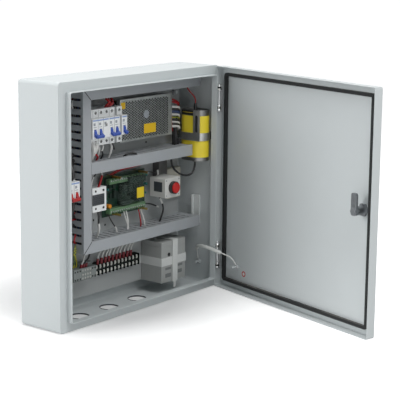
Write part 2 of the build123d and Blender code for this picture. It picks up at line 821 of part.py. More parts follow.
def breaker_body(left, poles, rail_z, levers):
    """A breaker's case on its rail; levers are the places, in poles, of the slots for its toggles."""
    end = Plane(origin=(left, -rail_face, rail_z), x_dir=(0, 0, 1), z_dir=(1, 0, 0))
    width = poles * pole - breaker_split
    with BuildSketch(end) as profile:
        patch(-breaker_height / 2, breaker_height / 2, 0, breaker_shoulder)
        patch(-nose_height / 2, nose_height / 2, 0, breaker_nose)
        chamfer(vertices().group_by(Axis.Y)[-1], breaker_edge)
    extrude(profile.sketch, amount=width)
    with BuildSketch(front(rail_face + breaker_shoulder - terminal_hole_depth)) as screw_holes:
        with Locations((left + poles * pole / 2, rail_z)):
            with GridLocations(pole, 2 * terminal_hole_height, poles, 2):
                RegularPolygon(terminal_hole / 2, 8)
    extrude(screw_holes.sketch, amount=terminal_hole_depth + overrun, mode=Mode.SUBTRACT)
    well = toggle_drum + toggle_slot_play
    for lever in levers:
        middle = left + lever * pole
        half = toggle_width / 2 + toggle_slot_play
        slot = Plane(origin=(middle - half, -nose_face + toggle_axis, rail_z - toggle_drop),
                     x_dir=(0, 0, 1), z_dir=(1, 0, 0))
        with BuildSketch(slot) as mouth:
            Circle(well)
            patch(-well, well, 0, toggle_axis + overrun)
        extrude(mouth.sketch, amount=2 * half, mode=Mode.SUBTRACT)


def breaker_toggle(left, rail_z, levers):
    """The levers of one breaker, tied by a bar where there are two, switched off."""
    first = left + levers[0] * pole - toggle_width / 2
    last = left + levers[-1] * pole + toggle_width / 2
    lean = radians(toggle_angle)
    for lever in levers:
        middle = left + lever * pole
        drum = Plane(origin=(middle - toggle_width / 2, -nose_face + toggle_axis, rail_z - toggle_drop),
                     x_dir=(0, -sin(lean), cos(lean)), z_dir=(1, 0, 0))
        with BuildSketch(drum) as lever_side:
            Circle(toggle_drum)
            patch(-toggle_thick / 2, toggle_thick / 2, 0, toggle_reach)
        extrude(lever_side.sketch, amount=toggle_width)
    tie = Plane(origin=(first, -nose_face + toggle_axis, rail_z - toggle_drop),
                x_dir=(0, -sin(lean), cos(lean)), z_dir=(1, 0, 0))
    with BuildSketch(tie) as bar_side:
        patch(-toggle_thick / 2, toggle_thick / 2, toggle_reach - toggle_bar, toggle_reach)
    extrude(bar_side.sketch, amount=last - first)


rcd_left = device_left
double_left = rcd_left + rcd_poles * pole
single_left = double_left + double_poles * pole + single_gap
left_left = left_device_edge - double_poles * pole
pair_shares = (0.5, 1.5)     # lever places, in poles from the left side
lone_shares = (0.5,)
breakers = {
    "rcd": (rcd_left, rcd_poles, rail_upper_height, pair_shares),
    "double": (double_left, double_poles, rail_upper_height, pair_shares),
    "single": (single_left, 1, rail_upper_height, lone_shares),
    "left": (left_left, double_poles, rail_left_height, pair_shares),
}
test_x = rcd_left + (rcd_poles - lone_shares[0]) * pole
test_z = rail_upper_height + test_button_height
for breaker_name, (breaker_left, breaker_poles, breaker_rail, breaker_levers) in breakers.items():
    with BuildPart() as breaker:
        breaker_body(breaker_left, breaker_poles, breaker_rail, breaker_levers)
        if breaker_name == "rcd":
            with BuildSketch(front(nose_face - test_button_length)):
                with Locations((test_x, test_z)):
                    window = test_button_size + 2 * test_button_play
                    Rectangle(window, window)
            extrude(amount=test_button_length + overrun, mode=Mode.SUBTRACT)
    keep(breaker, f"breaker_{breaker_name}")
    with BuildPart() as toggle:
        breaker_toggle(breaker_left, breaker_rail, breaker_levers)
    keep(toggle, f"toggle_{breaker_name}")

with BuildPart() as test_button:
    with BuildSketch(front(nose_face - test_button_length / 2)):
        with Locations((test_x, test_z)):
            Rectangle(test_button_size, test_button_size)
    extrude(amount=test_button_length / 2 + test_button_proud)
keep(test_button, "test_button")

# Power supply

psu_right = psu_left + psu_length
psu_high = psu_low + psu_height
psu_end = psu_right + psu_tail

with BuildPart() as psu_chassis:
    trough = Plane(origin=(psu_left + psu_wall, -plate_depth, psu_low), x_dir=(0, 0, 1), z_dir=(1, 0, 0))
    with BuildSketch(trough):
        patch(psu_wall, psu_height - psu_wall, 0, psu_depth - psu_sheet)
        inner = psu_wall + psu_sheet
        patch(inner, psu_height - inner, psu_sheet, psu_depth, mode=Mode.SUBTRACT)
    extrude(amount=psu_length - psu_wall)
    block(psu_right, psu_end, psu_low + psu_wall, psu_high - psu_wall, plate_depth, plate_depth + psu_sheet)
keep(psu_chassis, "psu_chassis")

with BuildPart() as psu_cover:
    block(psu_left, psu_right, psu_low, psu_high, psu_face - psu_skirt, psu_face)
    block(psu_left, psu_left + psu_sheet, psu_low, psu_high, plate_depth, psu_face)
    block(psu_left + psu_sheet, psu_right + overrun, psu_low + psu_sheet, psu_high - psu_sheet,
          plate_depth, psu_face - psu_sheet, mode=Mode.SUBTRACT)
    with BuildSketch(front(psu_face - psu_sheet - overrun)):
        with Locations((psu_left + psu_length / 2, psu_low + psu_height / 2)):
            for shift in (-1, 1):
                with Locations((shift * mesh_pitch_along / 4, shift * mesh_pitch_up / 4)):
                    with GridLocations(mesh_pitch_along, mesh_pitch_up, mesh_columns, mesh_rows):
                        Rectangle(mesh_hole, mesh_hole, rotation=45)
    extrude(amount=psu_sheet + 2 * overrun, mode=Mode.SUBTRACT)
keep(psu_cover, "psu_cover")

with BuildPart() as psu_terminals:
    terminal_mid = psu_low + psu_height / 2
    terminal_low = terminal_mid - psu_terminal_height / 2
    terminal_back = plate_depth + psu_sheet
    block(psu_right, psu_end, terminal_low, terminal_low + psu_terminal_height,
          terminal_back, terminal_back + psu_terminal_depth)
    with BuildSketch(front(terminal_back + psu_terminal_depth - psu_terminal_step)):
        with Locations((psu_right + psu_tail / 2 + psu_terminal_rib, terminal_mid)):
            with GridLocations(psu_terminal_pitch, psu_terminal_pitch, 1, psu_terminal_count):
                Rectangle(psu_tail, psu_terminal_pitch - psu_terminal_rib)
    extrude(amount=psu_terminal_step + overrun, mode=Mode.SUBTRACT)
keep(psu_terminals, "psu_terminals")

# Oval can


def oval(grow, mode=Mode.ADD):
    """The can's oval outline in the sketch being drawn, grown all round."""
    with Locations((can_x, -can_middle_depth)):
        SlotOverall(can_depth + 2 * grow, can_width + 2 * grow, rotation=90, mode=mode)


with BuildPart() as can_body:
    with BuildSketch(Plane.XY.offset(can_low)):
        oval(-can_sleeve)
    extrude(amount=can_height)
    with BuildSketch(Plane.XY.offset(can_top - can_lid_dish)):
        oval(-can_sleeve - can_rim)
    extrude(amount=can_lid_dish, mode=Mode.SUBTRACT)
    with BuildSketch(Plane.XY.offset(can_low - can_gland_length)):
        with Locations((can_x, -can_middle_depth)):
            Circle(can_gland_radius)
    extrude(amount=can_gland_length)
keep(can_body, "can_body")

sleeve_runs = (
    (can_low + can_sleeve_low, can_strap_low),
    (can_strap_low + can_strap_height, can_top - can_sleeve_head),
)
with BuildPart() as can_sleeves:
    for sleeve_foot, sleeve_head in sleeve_runs:
        with BuildSketch(Plane.XY.offset(sleeve_foot)):
            oval(0)
            oval(-can_sleeve, mode=Mode.SUBTRACT)
        extrude(amount=sleeve_head - sleeve_foot)
keep(can_sleeves, "can_sleeves")

with BuildPart() as can_strap:
    clip_x = can_x - can_width / 2 - strap_sheet
    with BuildSketch(Plane.XY.offset(can_strap_low)):
        oval(strap_sheet)
        ear_half = can_depth / 2 + strap_sheet + can_ear
        ear_mid = -can_middle_depth
        patch(wall_inner - strap_sheet, wall_inner, ear_mid - ear_half, ear_mid + ear_half)
        oval(-can_sleeve, mode=Mode.SUBTRACT)
    extrude(amount=can_strap_height)
    with BuildSketch(Plane.YZ.offset(clip_x)):
        patch(-clip_front, -clip_front + clip_width, can_strap_low, can_top)
        slot_mid = can_strap_low + can_strap_height + clip_slot_low + clip_slot_length / 2
        with Locations((-clip_front + clip_width / 2, slot_mid)):
            SlotOverall(clip_slot_length, clip_slot, rotation=90, mode=Mode.SUBTRACT)
    extrude(amount=strap_sheet)
keep(can_strap, "can_strap")

with BuildPart() as can_boot:
    with BuildSketch(Plane.XY.offset(can_top - can_lid_dish)):
        with Locations((can_x, -can_middle_depth)):
            Circle(can_boot_radius)
    extrude(amount=can_boot_length, taper=can_boot_taper)
keep(can_boot, "can_boot")

# Control board


def pillar_places():
    """The four places of the pillars that carry the board and its cover."""
    lefts = (board_cover_left + pillar_inset, board_cover_left + board_cover_width - pillar_inset)
    levels = (board_low + pillar_inset, board_low + board_height - pillar_inset)
    return [(x, z) for x in lefts for z in levels]


with BuildPart() as board:
    with BuildSketch(front(board_back)):
        patch(board_left, board_left + board_width, board_low, board_low + board_height)
        with Locations(*pillar_places()):
            RegularPolygon(pillar_radius + seat_gap, 6, mode=Mode.SUBTRACT)
    extrude(amount=board_sheet)
keep(board, "board")

with BuildPart() as board_pillars:
    with BuildSketch(front(plate_depth)):
        with Locations(*pillar_places()):
            RegularPolygon(pillar_radius, 6)
    extrude(amount=board_cover_back - plate_depth)
keep(board_pillars, "board_pillars")

with BuildPart() as board_cover:
    with BuildSketch(front(board_cover_back)):
        patch(board_cover_left, board_cover_left + board_cover_width, board_low, board_low + board_height)
    extrude(amount=board_cover_sheet)
keep(board_cover, "board_cover")

with BuildPart() as board_terminals:
    strip_x = board_left + board_width / 2
    for edge, face in ((board_low, 1), (board_low + board_height, -1)):
        near = edge + face * board_terminal_inset
        far = near + face * board_terminal_height
        low, high = min(near, far), max(near, far)
        block(strip_x - board_terminal_length / 2, strip_x + board_terminal_length / 2, low, high,
              board_face, board_face + board_terminal_depth)
        step = near + face * board_terminal_step
        with BuildSketch(front(board_face + board_terminal_depth - board_terminal_step)):
            with Locations((strip_x, (near + step) / 2)):
                with GridLocations(board_terminal_pitch, board_terminal_pitch, board_terminal_count, 1):
                    Rectangle(board_terminal_notch, board_terminal_step)
        extrude(amount=board_terminal_step + overrun, mode=Mode.SUBTRACT)
keep(board_terminals, "board_terminals")

with BuildPart() as board_relays:
    with BuildSketch(front(board_face)):
        relay_x = board_left + board_width * relay_left_share + relay_pitch * (relay_count - 1) / 2
        with Locations((relay_x, board_low + board_height * relay_up_share)):
            with GridLocations(relay_pitch, relay_pitch, relay_count, 1):
                Rectangle(relay_width, relay_height)
    extrude(amount=relay_depth)
keep(board_relays, "board_relays")

with BuildPart() as board_coil:
    with BuildSketch(front(board_face)):
        coil_x = board_left + board_width * coil_left_share
        with Locations((coil_x, board_low + board_height * coil_up_share)):
            Circle(coil_radius)
    extrude(amount=coil_height)
keep(board_coil, "board_coil")

# Contactor

contactor_x = duct_right_edge + contactor_gap + contactor_width / 2
contactor_face = rail_face + contactor_shoulder

with BuildPart() as contactor_body:
    with BuildSketch(front(rail_face)):
        with Locations((contactor_x, rail_middle_height)):
            RectangleRounded(contactor_width, contactor_height, contactor_edge)
    extrude(amount=contactor_shoulder)
    with BuildSketch(front(contactor_face - contactor_hole_depth)):
        with Locations((contactor_x, rail_middle_height)):
            with GridLocations(contactor_hole_pitch, contactor_height - 2 * contactor_hole_inset, 2, 2):
                RegularPolygon(contactor_hole / 2, 8)
    extrude(amount=contactor_hole_depth + overrun, mode=Mode.SUBTRACT)
keep(contactor_body, "contactor_body")

with BuildPart() as contactor_front:
    with BuildSketch(front(contactor_face)):
        with Locations((contactor_x, rail_middle_height)):
            RectangleRounded(contactor_width, contactor_front_height, contactor_edge)
    extrude(amount=contactor_front_depth)
    chamfer(contactor_front.faces().sort_by(Axis.Y)[0].edges(), contactor_edge / 2)
keep(contactor_front, "contactor_front")

# Push button and receiver

with BuildPart() as button_bracket:
    bracket_right = bracket_left + bracket_width
    block(bracket_left, bracket_right, button_low, bracket_top, plate_depth, button_back)
    block(bracket_left + bracket_sheet, bracket_right - bracket_sheet,
          button_low - overrun, bracket_top + overrun,
          plate_depth - overrun, button_back - bracket_sheet, mode=Mode.SUBTRACT)
keep(button_bracket, "button_bracket")

with BuildPart() as button_box:
    with BuildSketch(front(button_back)):
        with Locations((button_x, button_z)):
            RectangleRounded(button_width, button_height, button_edge)
    extrude(amount=button_depth)
    with BuildSketch(Plane.YZ.offset(button_left)):
        with Locations((-button_back - button_depth / 2, button_z)):
            Rectangle(knockout, knockout)
    extrude(amount=knockout_depth, mode=Mode.SUBTRACT)
    with BuildSketch(front(button_face - button_well)):
        with Locations((button_x, button_z)):
            Circle(button_stem + button_stem_play)
    extrude(amount=button_well + overrun, mode=Mode.SUBTRACT)
keep(button_box, "button_box")

with BuildPart() as button_bezel:
    with BuildSketch(front(button_face)):
        with Locations((button_x, button_z)):
            Circle(bezel_radius)
            Circle(bezel_radius - bezel_wall, mode=Mode.SUBTRACT)
    extrude(amount=bezel_height)
keep(button_bezel, "button_bezel")

with BuildPart() as red_button:
    cap_back = button_face + button_travel + seat_gap
    cap_face = button_face + bezel_height + button_proud
    with BuildSketch(front(cap_back)):
        with Locations((button_x, button_z)):
            Circle(bezel_radius - bezel_wall - button_play)
    extrude(amount=cap_face - cap_back)
    fillet(red_button.faces().sort_by(Axis.Y)[0].edges(), button_cap_edge)
    with BuildSketch(front(button_face - button_stem_length)):
        with Locations((button_x, button_z)):
            Circle(button_stem)
    extrude(amount=cap_back - button_face + button_stem_length)
keep(red_button, "red_button")

with BuildPart() as receiver:
    with BuildSketch(front(plate_depth)):
        with Locations((receiver_left + receiver_width / 2, receiver_low + receiver_height / 2)):
            RectangleRounded(receiver_width, receiver_height, receiver_edge)
    extrude(amount=receiver_depth)
    chamfer(receiver.faces().sort_by(Axis.Y)[0].edges(), receiver_edge / 2)
keep(receiver, "receiver")

# Terminals

with BuildPart() as barrier_strip:
    strip_right = strip_left + strip_poles * strip_pitch + strip_fin_sheet
    strip_mid = strip_low + strip_height / 2
    strip_high = strip_low + strip_height
    block(strip_left, strip_right, strip_low, strip_high, plate_depth, plate_depth + strip_base)
    for fin in range(strip_poles + 1):
        fin_left = strip_left + fin * strip_pitch
        block(fin_left, fin_left + strip_fin_sheet, strip_low, strip_high,
              plate_depth + strip_base, plate_depth + strip_fin)
    block(strip_left, strip_right, strip_mid - strip_spine / 2, strip_mid + strip_spine / 2,
          plate_depth + strip_base, plate_depth + strip_fin)
keep(barrier_strip, "barrier_strip")

with BuildPart() as grey_terminals:
    slices_mid = rail_lower_start + rail_lower_length / 2
    for place in range(slice_count):
        slice_left = slices_mid + (place - slice_count / 2) * slice_pitch
        slice_foot_centre = (slice_left, -rail_face, rail_lower_height)
        with BuildSketch(Plane(origin=slice_foot_centre, x_dir=(0, 0, 1), z_dir=(1, 0, 0))):
            patch(-slice_height / 2, slice_height / 2, 0, slice_foot)
            patch(-slice_step_height / 2, slice_step_height / 2, 0, slice_depth)
        extrude(amount=slice_width)
keep(grey_terminals, "grey_terminals")

# Battery and straps

with BuildPart() as battery:
    battery_mid = battery_left + battery_width / 2
    battery_top = battery_low + battery_height
    with BuildSketch(Plane.XY.offset(battery_low)):
        with Locations((battery_mid, -plate_depth - battery_depth / 2)):
            RectangleRounded(battery_width, battery_depth, battery_edge)
    extrude(amount=battery_height)
    with BuildSketch(Plane.XY.offset(battery_top - battery_lid)):
        with Locations((battery_mid, -plate_depth - battery_depth / 2)):
            Rectangle(battery_width + overrun, battery_depth + overrun)
            RectangleRounded(battery_width - 2 * battery_groove, battery_depth - 2 * battery_groove,
                             battery_edge, mode=Mode.SUBTRACT)
    extrude(amount=battery_groove, mode=Mode.SUBTRACT)
    with BuildSketch(Plane.XY.offset(battery_top)):
        with Locations((battery_mid, -plate_depth - battery_depth / 2)):
            with GridLocations(battery_width - 2 * battery_post_inset, battery_depth, 2, 1):
                Rectangle(battery_post, battery_post_sheet)
    extrude(amount=battery_post_height)
keep(battery, "battery")

with BuildPart() as strap_across:
    with BuildSketch(Plane.XY.offset(web_across_low)):
        strap_left = battery_left - web_sheet
        strap_right = battery_left + battery_width + web_sheet
        patch(strap_left, strap_right, -battery_face - web_sheet, -plate_depth)
        patch(battery_left, battery_left + battery_width, -battery_face, -plate_depth, mode=Mode.SUBTRACT)
        patch(strap_left - web_foot, strap_left, -plate_depth - web_sheet, -plate_depth)
        patch(strap_right, strap_right + web_foot, -plate_depth - web_sheet, -plate_depth)
    extrude(amount=web_across_height)
keep(strap_across, "strap_across")

with BuildPart() as strap_upright:
    upright_right = web_upright_left + web_upright_width
    with BuildSketch(Plane.YZ.offset(web_upright_left)):
        strap_low = battery_low - 2 * web_sheet
        strap_high = battery_top + 2 * web_sheet
        patch(-battery_face - 2 * web_sheet, -plate_depth, strap_low, strap_high)
        patch(-battery_face - web_sheet, -plate_depth, battery_low - web_sheet, battery_top + web_sheet,
              mode=Mode.SUBTRACT)
    extrude(amount=web_upright_width)
    tail_left = web_upright_left + web_upright_width / 4
    block(tail_left, tail_left + web_tail_width, strap_low - web_tail_length, strap_low,
          battery_face + web_sheet, battery_face + 2 * web_sheet)
keep(strap_upright, "strap_upright")

# Leads


def lead(points, radius):
    """A round lead along straight runs and the widest bends they allow, in the part being built."""
    radii = []
    for before, corner, after in zip(points, points[1:], points[2:]):
        into = Vector(corner) - Vector(before)
        out = Vector(after) - Vector(corner)
        turn = radians(into.get_angle(out))
        radii.append(bend_share * min(into.length, out.length) / tan(turn / 2))
    with BuildLine() as route:
        FilletPolyline(*points, radius=radii)
    with BuildSketch(Plane(origin=points[0], z_dir=Vector(points[1]) - Vector(points[0]))) as section:
        Circle(radius)
    sweep(section.sketch, path=route.wire())
    print("bends", [round(bend, 1) for bend in radii], "length", round(route.wire().length, 1))


def route_from(x, y, z, steps):
    """The points that lie these steps from a place."""
    return [(x + right, y + back, z + up) for right, back, up in steps]


duct_top_low = duct_top_edge - duct_width
cable_route = route_from(can_x, -can_middle_depth, can_low, cable_steps)
lead_route = route_from(can_x, -can_middle_depth, can_top, lead_foot_steps)
lead_route += route_from(can_x, -can_middle_depth, duct_top_low, lead_head_steps)
bond_route = route_from(wall_inner, -wall_stud_depth, wall_stud_height, bond_wall_steps)
bond_route += route_from(axis_x, axis_y, wall_stud_height, bond_door_steps)

with BuildPart() as can_cable:
    lead(cable_route, cable_radius)
keep(can_cable, "can_cable")

with BuildPart() as can_lead:
    lead(lead_route, lead_radius)
keep(can_lead, "can_lead")

with BuildPart() as bonding_lead:
    lead(bond_route, bond_radius)
keep(bonding_lead, "bonding_lead")
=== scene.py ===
"""Dresses the bollard controller.

Every solid gets its finish, then come wiring, screws, mesh, labels, light and camera.
Places are in millimetres: right of the middle, out from the wall, up from the middle.
"""

import math
from types import SimpleNamespace

import bpy
from mathutils import Matrix, Vector


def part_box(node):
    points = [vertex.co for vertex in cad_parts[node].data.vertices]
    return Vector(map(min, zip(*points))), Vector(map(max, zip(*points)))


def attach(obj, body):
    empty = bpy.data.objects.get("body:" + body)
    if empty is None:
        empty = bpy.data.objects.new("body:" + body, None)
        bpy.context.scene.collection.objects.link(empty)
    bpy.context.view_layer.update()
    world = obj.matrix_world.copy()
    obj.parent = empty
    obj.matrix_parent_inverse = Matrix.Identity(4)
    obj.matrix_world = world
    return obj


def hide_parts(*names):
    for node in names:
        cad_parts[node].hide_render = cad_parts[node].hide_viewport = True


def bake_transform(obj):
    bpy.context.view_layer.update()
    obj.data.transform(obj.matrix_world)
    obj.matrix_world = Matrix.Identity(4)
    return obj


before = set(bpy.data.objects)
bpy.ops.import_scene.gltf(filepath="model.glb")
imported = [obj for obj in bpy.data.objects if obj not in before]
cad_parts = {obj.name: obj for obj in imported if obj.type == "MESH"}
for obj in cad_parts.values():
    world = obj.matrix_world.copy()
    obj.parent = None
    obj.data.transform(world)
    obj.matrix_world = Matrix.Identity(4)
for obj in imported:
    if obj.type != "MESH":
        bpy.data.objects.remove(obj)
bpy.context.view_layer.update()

mm = 0.001
origin = (0.0, 0.0, 0.0)
forward = Vector((0.0, -1.0, 0.0))
rightward = Vector((1.0, 0.0, 0.0))
upward = Vector((0.0, 0.0, 1.0))
smooth_angle = math.radians(35.0)
bevel_angle = math.radians(40.0)


def spot(right, out, up):
    """A place in millimetres as a point of the scene, in metres."""
    return Vector((right, -out, up)) * mm


def reach(name):
    """How far a solid reaches, in millimetres."""
    low, high = (Vector(corner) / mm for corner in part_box(name))
    return SimpleNamespace(left=low.x, right=high.x, back=-high.y, front=-low.y,
                           foot=low.z, head=high.z)


# The door's own directions: along it from the hinge, and out of its inner face.

door_swing = math.radians(75.0)
door_along = Vector((-math.cos(door_swing), -math.sin(door_swing), 0.0))
door_inward = Vector((-math.sin(door_swing), math.cos(door_swing), 0.0))
pins = reach("hinge_pins")
hinge_right = (pins.left + pins.right) / 2
hinge_out = (pins.back + pins.front) / 2


def door_spot(along, inward, up):
    """A place on the open door: along it, and inward, from the hinge's middle line."""
    shift = door_along * along + door_inward * inward
    return hinge_right + shift.x, hinge_out - shift.y, up


# Modelling helpers. Lengths that they take are in millimetres.

def put_down():
    if bpy.context.mode != "OBJECT":
        bpy.ops.object.mode_set(mode="OBJECT")
    bpy.ops.object.select_all(action="DESELECT")


def pick_up(piece):
    put_down()
    piece.select_set(True)
    bpy.context.view_layer.objects.active = piece


def block(low, high, name):
    """A block between two places, the start of a flat or boxy piece."""
    put_down()
    low, high = spot(*low), spot(*high)
    bpy.ops.mesh.primitive_cube_add(size=1.0, location=(low + high) / 2)
    piece = bpy.context.object
    piece.name = name
    piece.scale = [abs(side) for side in high - low]
    bpy.ops.object.transform_apply(location=True, rotation=True, scale=True)
    return piece


def drum(start, end, radius, name, sides=20):
    """A round bar between two places, the start of a turned piece."""
    put_down()
    start, end = spot(*start), spot(*end)
    run = end - start
    bpy.ops.mesh.primitive_cylinder_add(vertices=sides, radius=radius * mm, depth=run.length,
                                        location=(start + end) / 2,
                                        rotation=run.to_track_quat("Z", "Y").to_euler())
    piece = bpy.context.object
    piece.name = name
    bpy.ops.object.transform_apply(location=True, rotation=True, scale=True)
    return piece


def work(piece, kind, **settings):
    """Adds a modifier and applies it."""
    pick_up(piece)
    tool = piece.modifiers.new("work", kind)
    for name, value in settings.items():
        setattr(tool, name, value)
    bpy.ops.object.modifier_apply(modifier=tool.name)


def soften(piece, width, steps=2):
    work(piece, "BEVEL", width=width * mm, segments=steps, limit_method="ANGLE",
         angle_limit=bevel_angle)


def cut(piece, cutter):
    work(piece, "BOOLEAN", object=cutter, operation="DIFFERENCE", solver="EXACT")
    bpy.data.objects.remove(cutter)


def choose(piece, kind, wanted):
    """Enters edit mode with only the wanted faces, edges or corners selected."""
    pick_up(piece)
    bpy.ops.object.mode_set(mode="EDIT")
    bpy.ops.mesh.select_mode(type=kind)
    bpy.ops.mesh.select_all(action="DESELECT")
    bpy.ops.object.mode_set(mode="OBJECT")
    mesh = piece.data
    for part in {"FACE": mesh.polygons, "EDGE": mesh.edges, "VERT": mesh.vertices}[kind]:
        part.select = bool(wanted(part))
    bpy.ops.object.mode_set(mode="EDIT")


def ends_of(piece, edge):
    return [piece.data.vertices[end].co for end in edge.vertices]


def step_face(piece, facing, margin, rise):
    """Insets the faces that look one way and moves the middle in or out."""
    choose(piece, "FACE", lambda face: face.normal.dot(facing) > 0.99)
    bpy.ops.mesh.inset(thickness=margin * mm, depth=0.0)
    bpy.ops.mesh.extrude_region_move(TRANSFORM_OT_translate={"value": facing * rise * mm})
    put_down()


def gather(pieces, name):
    put_down()
    for piece in pieces:
        piece.select_set(True)
    bpy.context.view_layer.objects.active = pieces[0]
    if len(pieces) > 1:
        bpy.ops.object.join()
    pieces[0].name = name
    return pieces[0]


def repeat(master, places, name, facing=forward):
    """Copies a piece made at the origin, looking forward, to each place, and joins the copies."""
    turn = forward.rotation_difference(facing).to_matrix().to_4x4()
    copies = []
    for place in places:
        copy = master.copy()
        copy.data = master.data.copy()
        bpy.context.collection.objects.link(copy)
        copy.data.transform(Matrix.Translation(spot(*place)) @ turn)
        copies.append(copy)
    bpy.data.objects.remove(master)
    return gather(copies, name)


def settle(piece, finish, body="cabinet"):
    """Smooths a finished piece, gives it its finish and lets it ride on its body, if it has one."""
    pick_up(piece)
    bpy.ops.object.shade_smooth_by_angle(angle=smooth_angle)
    piece.data.materials.clear()
    piece.data.materials.append(finishes[finish])
    if body:
        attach(piece, body)
    return piece


def wire(route, radius, name):
    """A smooth lead along a route, as a mesh."""
    line = bpy.data.curves.new(name, "CURVE")
    line.dimensions = "3D"
    line.bevel_depth = radius * mm
    line.bevel_resolution = 2
    line.resolution_u = 5
    line.use_fill_caps = True
    spline = line.splines.new("NURBS")
    spline.points.add(len(route) - 1)
    for point, place in zip(spline.points, route):
        point.co = (*spot(*place), 1.0)
    spline.order_u = 3
    spline.use_endpoint_u = True
    piece = bpy.data.objects.new(name, line)
    bpy.context.collection.objects.link(piece)
    pick_up(piece)
    bpy.ops.object.convert(target="MESH")
    return bpy.context.object


def loom(routes, name, finish):
    """Joins leads of one colour; each comes as its radius and its route."""
    leads = [wire(route, radius, name) for radius, route in routes]
    return settle(gather(leads, name), finish)


def cross_screw(radius, height):
    """A screw head with a cross recess, at the origin, looking forward."""
    head = drum(origin, (0.0, height, 0.0), radius, "screw", sides=16)
    soften(head, radius * 0.3)
    long, slim = radius * 0.62, radius * 0.13
    for wide, tall in ((long, slim), (slim, long)):
        cut(head, block((-wide, height * 0.45, -tall), (wide, height * 1.55, tall), "recess"))
    return head


def slot_screw(radius, height):
    """A terminal screw with one slot, at the origin, looking forward."""
    head = drum(origin, (0.0, height, 0.0), radius, "screw", sides=14)
    soften(head, radius * 0.25, steps=1)
    wide, tall = radius * 1.1, radius * 0.16
    cut(head, block((-wide, height * 0.6, -tall), (wide, height * 1.4, tall), "recess"))
    return head


def label(front, left, right, foot, head, name, proud=0.12, sunk=0.3, corner=0.8):
    """A thin plain label with rounded corners on a face that looks forward."""
    piece = block((left, front + proud, foot), (right, front - sunk, head), name)

    def stands_off(edge):
        first, second = ends_of(piece, edge)
        return abs((first - second).normalized().y) > 0.9

    choose(piece, "EDGE", stands_off)
    bpy.ops.mesh.bevel(offset=corner * mm, segments=3)
    put_down()
    return piece


def dark_wells(places, name, radius, rise, rim, sink, sides, root=0.0):
    """Shallow dark rings with a sunk middle, looking forward, rooted a little way in: painted shade
    for holes and screw wells.
    """
    well_shade = drum((0.0, -root, 0.0), (0.0, rise, 0.0), radius, "well_shade", sides=sides)
    step_face(well_shade, forward, rim, -sink)
    settle(repeat(well_shade, places, name), "deep_shadow")


# Finishes: node groups first, then one material for each real surface.

finishes = {}


def tone(red, green, blue):
    """A colour as the eye reads it, 0 to 255, made linear."""
    return tuple((part / 255.0) ** 2.2 for part in (red, green, blue)) + (1.0,)


def feed(tree, socket, value):
    """Links a socket to another node's output, or sets it to a plain value."""
    if isinstance(value, bpy.types.NodeSocket):
        tree.links.new(value, socket)
    else:
        socket.default_value = value


def node(tree, kind, settings=None, **sockets):
    made = tree.nodes.new("ShaderNode" + kind)
    for name, value in (settings or {}).items():
        setattr(made, name, value)
    for name, value in sockets.items():
        feed(tree, made.inputs[name.replace("_", " ")], value)
    return made


def joined(tree, kind, settings, *values):
    """A node whose inputs are fed in their order; gives its first output."""
    made = node(tree, kind, settings)
    for socket, value in zip(made.inputs, values):
        feed(tree, socket, value)
    return made.outputs[0]


def maths(tree, operation, *values):
    return joined(tree, "Math", {"operation": operation}, *values)


def ranged(tree, value, start, end, low=0.0, high=1.0):
    return node(tree, "MapRange", Value=value, From_Min=start, From_Max=end, To_Min=low,
                To_Max=high).outputs[0]


def mixed(tree, share, first, second):
    """A mix of two colours, through the Mix node's own colour sockets."""
    made = node(tree, "Mix", {"data_type": "RGBA"})
    for index, value in ((0, share), (6, first), (7, second)):
        feed(tree, made.inputs[index], value)
    return made.outputs[2]


def group(name, inputs, outputs):
    tree = bpy.data.node_groups.new(name, "ShaderNodeTree")
    for title, kind, value in inputs:
        socket = tree.interface.new_socket(title, in_out="INPUT", socket_type="NodeSocket" + kind)
        socket.default_value = value
    for title, kind in outputs:
        tree.interface.new_socket(title, in_out="OUTPUT", socket_type="NodeSocket" + kind)
    return tree, tree.nodes.new("NodeGroupInput").outputs, tree.nodes.new("NodeGroupOutput").inputs


surface_outputs = [("Colour", "Color"), ("Roughness", "Float"), ("Height", "Float")]
mid_grey = (0.5, 0.5, 0.5, 1.0)


def coated_skin():
    """Paint or moulded plastic: fine grain, broad smudges and dust on what looks up."""
    tree, given, result = group("Coated Skin", [
        ("Colour", "Color", mid_grey), ("Dust Colour", "Color", mid_grey),
        ("Roughness", "Float", 0.4), ("Grain Scale", "Float", 900.0), ("Smudge", "Float", 0.08),
        ("Dust", "Float", 0.1)], surface_outputs)
    place = node(tree, "TexCoord").outputs["Object"]
    grain = node(tree, "TexNoise", Vector=place, Scale=given["Grain Scale"], Detail=3.0)
    broad = node(tree, "TexNoise", Vector=place, Scale=11.0, Detail=6.0, Roughness=0.62)
    smudges = broad.outputs["Fac"]
    swing = maths(tree, "SUBTRACT", smudges, 0.5)
    lift = maths(tree, "MULTIPLY_ADD", swing, given["Smudge"], 1.0)
    toned = node(tree, "HueSaturation", Value=lift, Color=given["Colour"])
    facing = node(tree, "SeparateXYZ", Vector=node(tree, "NewGeometry").outputs["Normal"])
    above = ranged(tree, facing.outputs["Z"], 0.5, 1.0)
    lying = maths(tree, "MULTIPLY", above, ranged(tree, smudges, 0.35, 0.65))
    share = maths(tree, "MULTIPLY", lying, given["Dust"])
    feed(tree, result["Colour"], mixed(tree, share, toned.outputs[0], given["Dust Colour"]))
    feed(tree, result["Roughness"], maths(tree, "MULTIPLY_ADD", swing, 0.22, given["Roughness"]))
    feed(tree, result["Height"], grain.outputs["Fac"])
    return tree


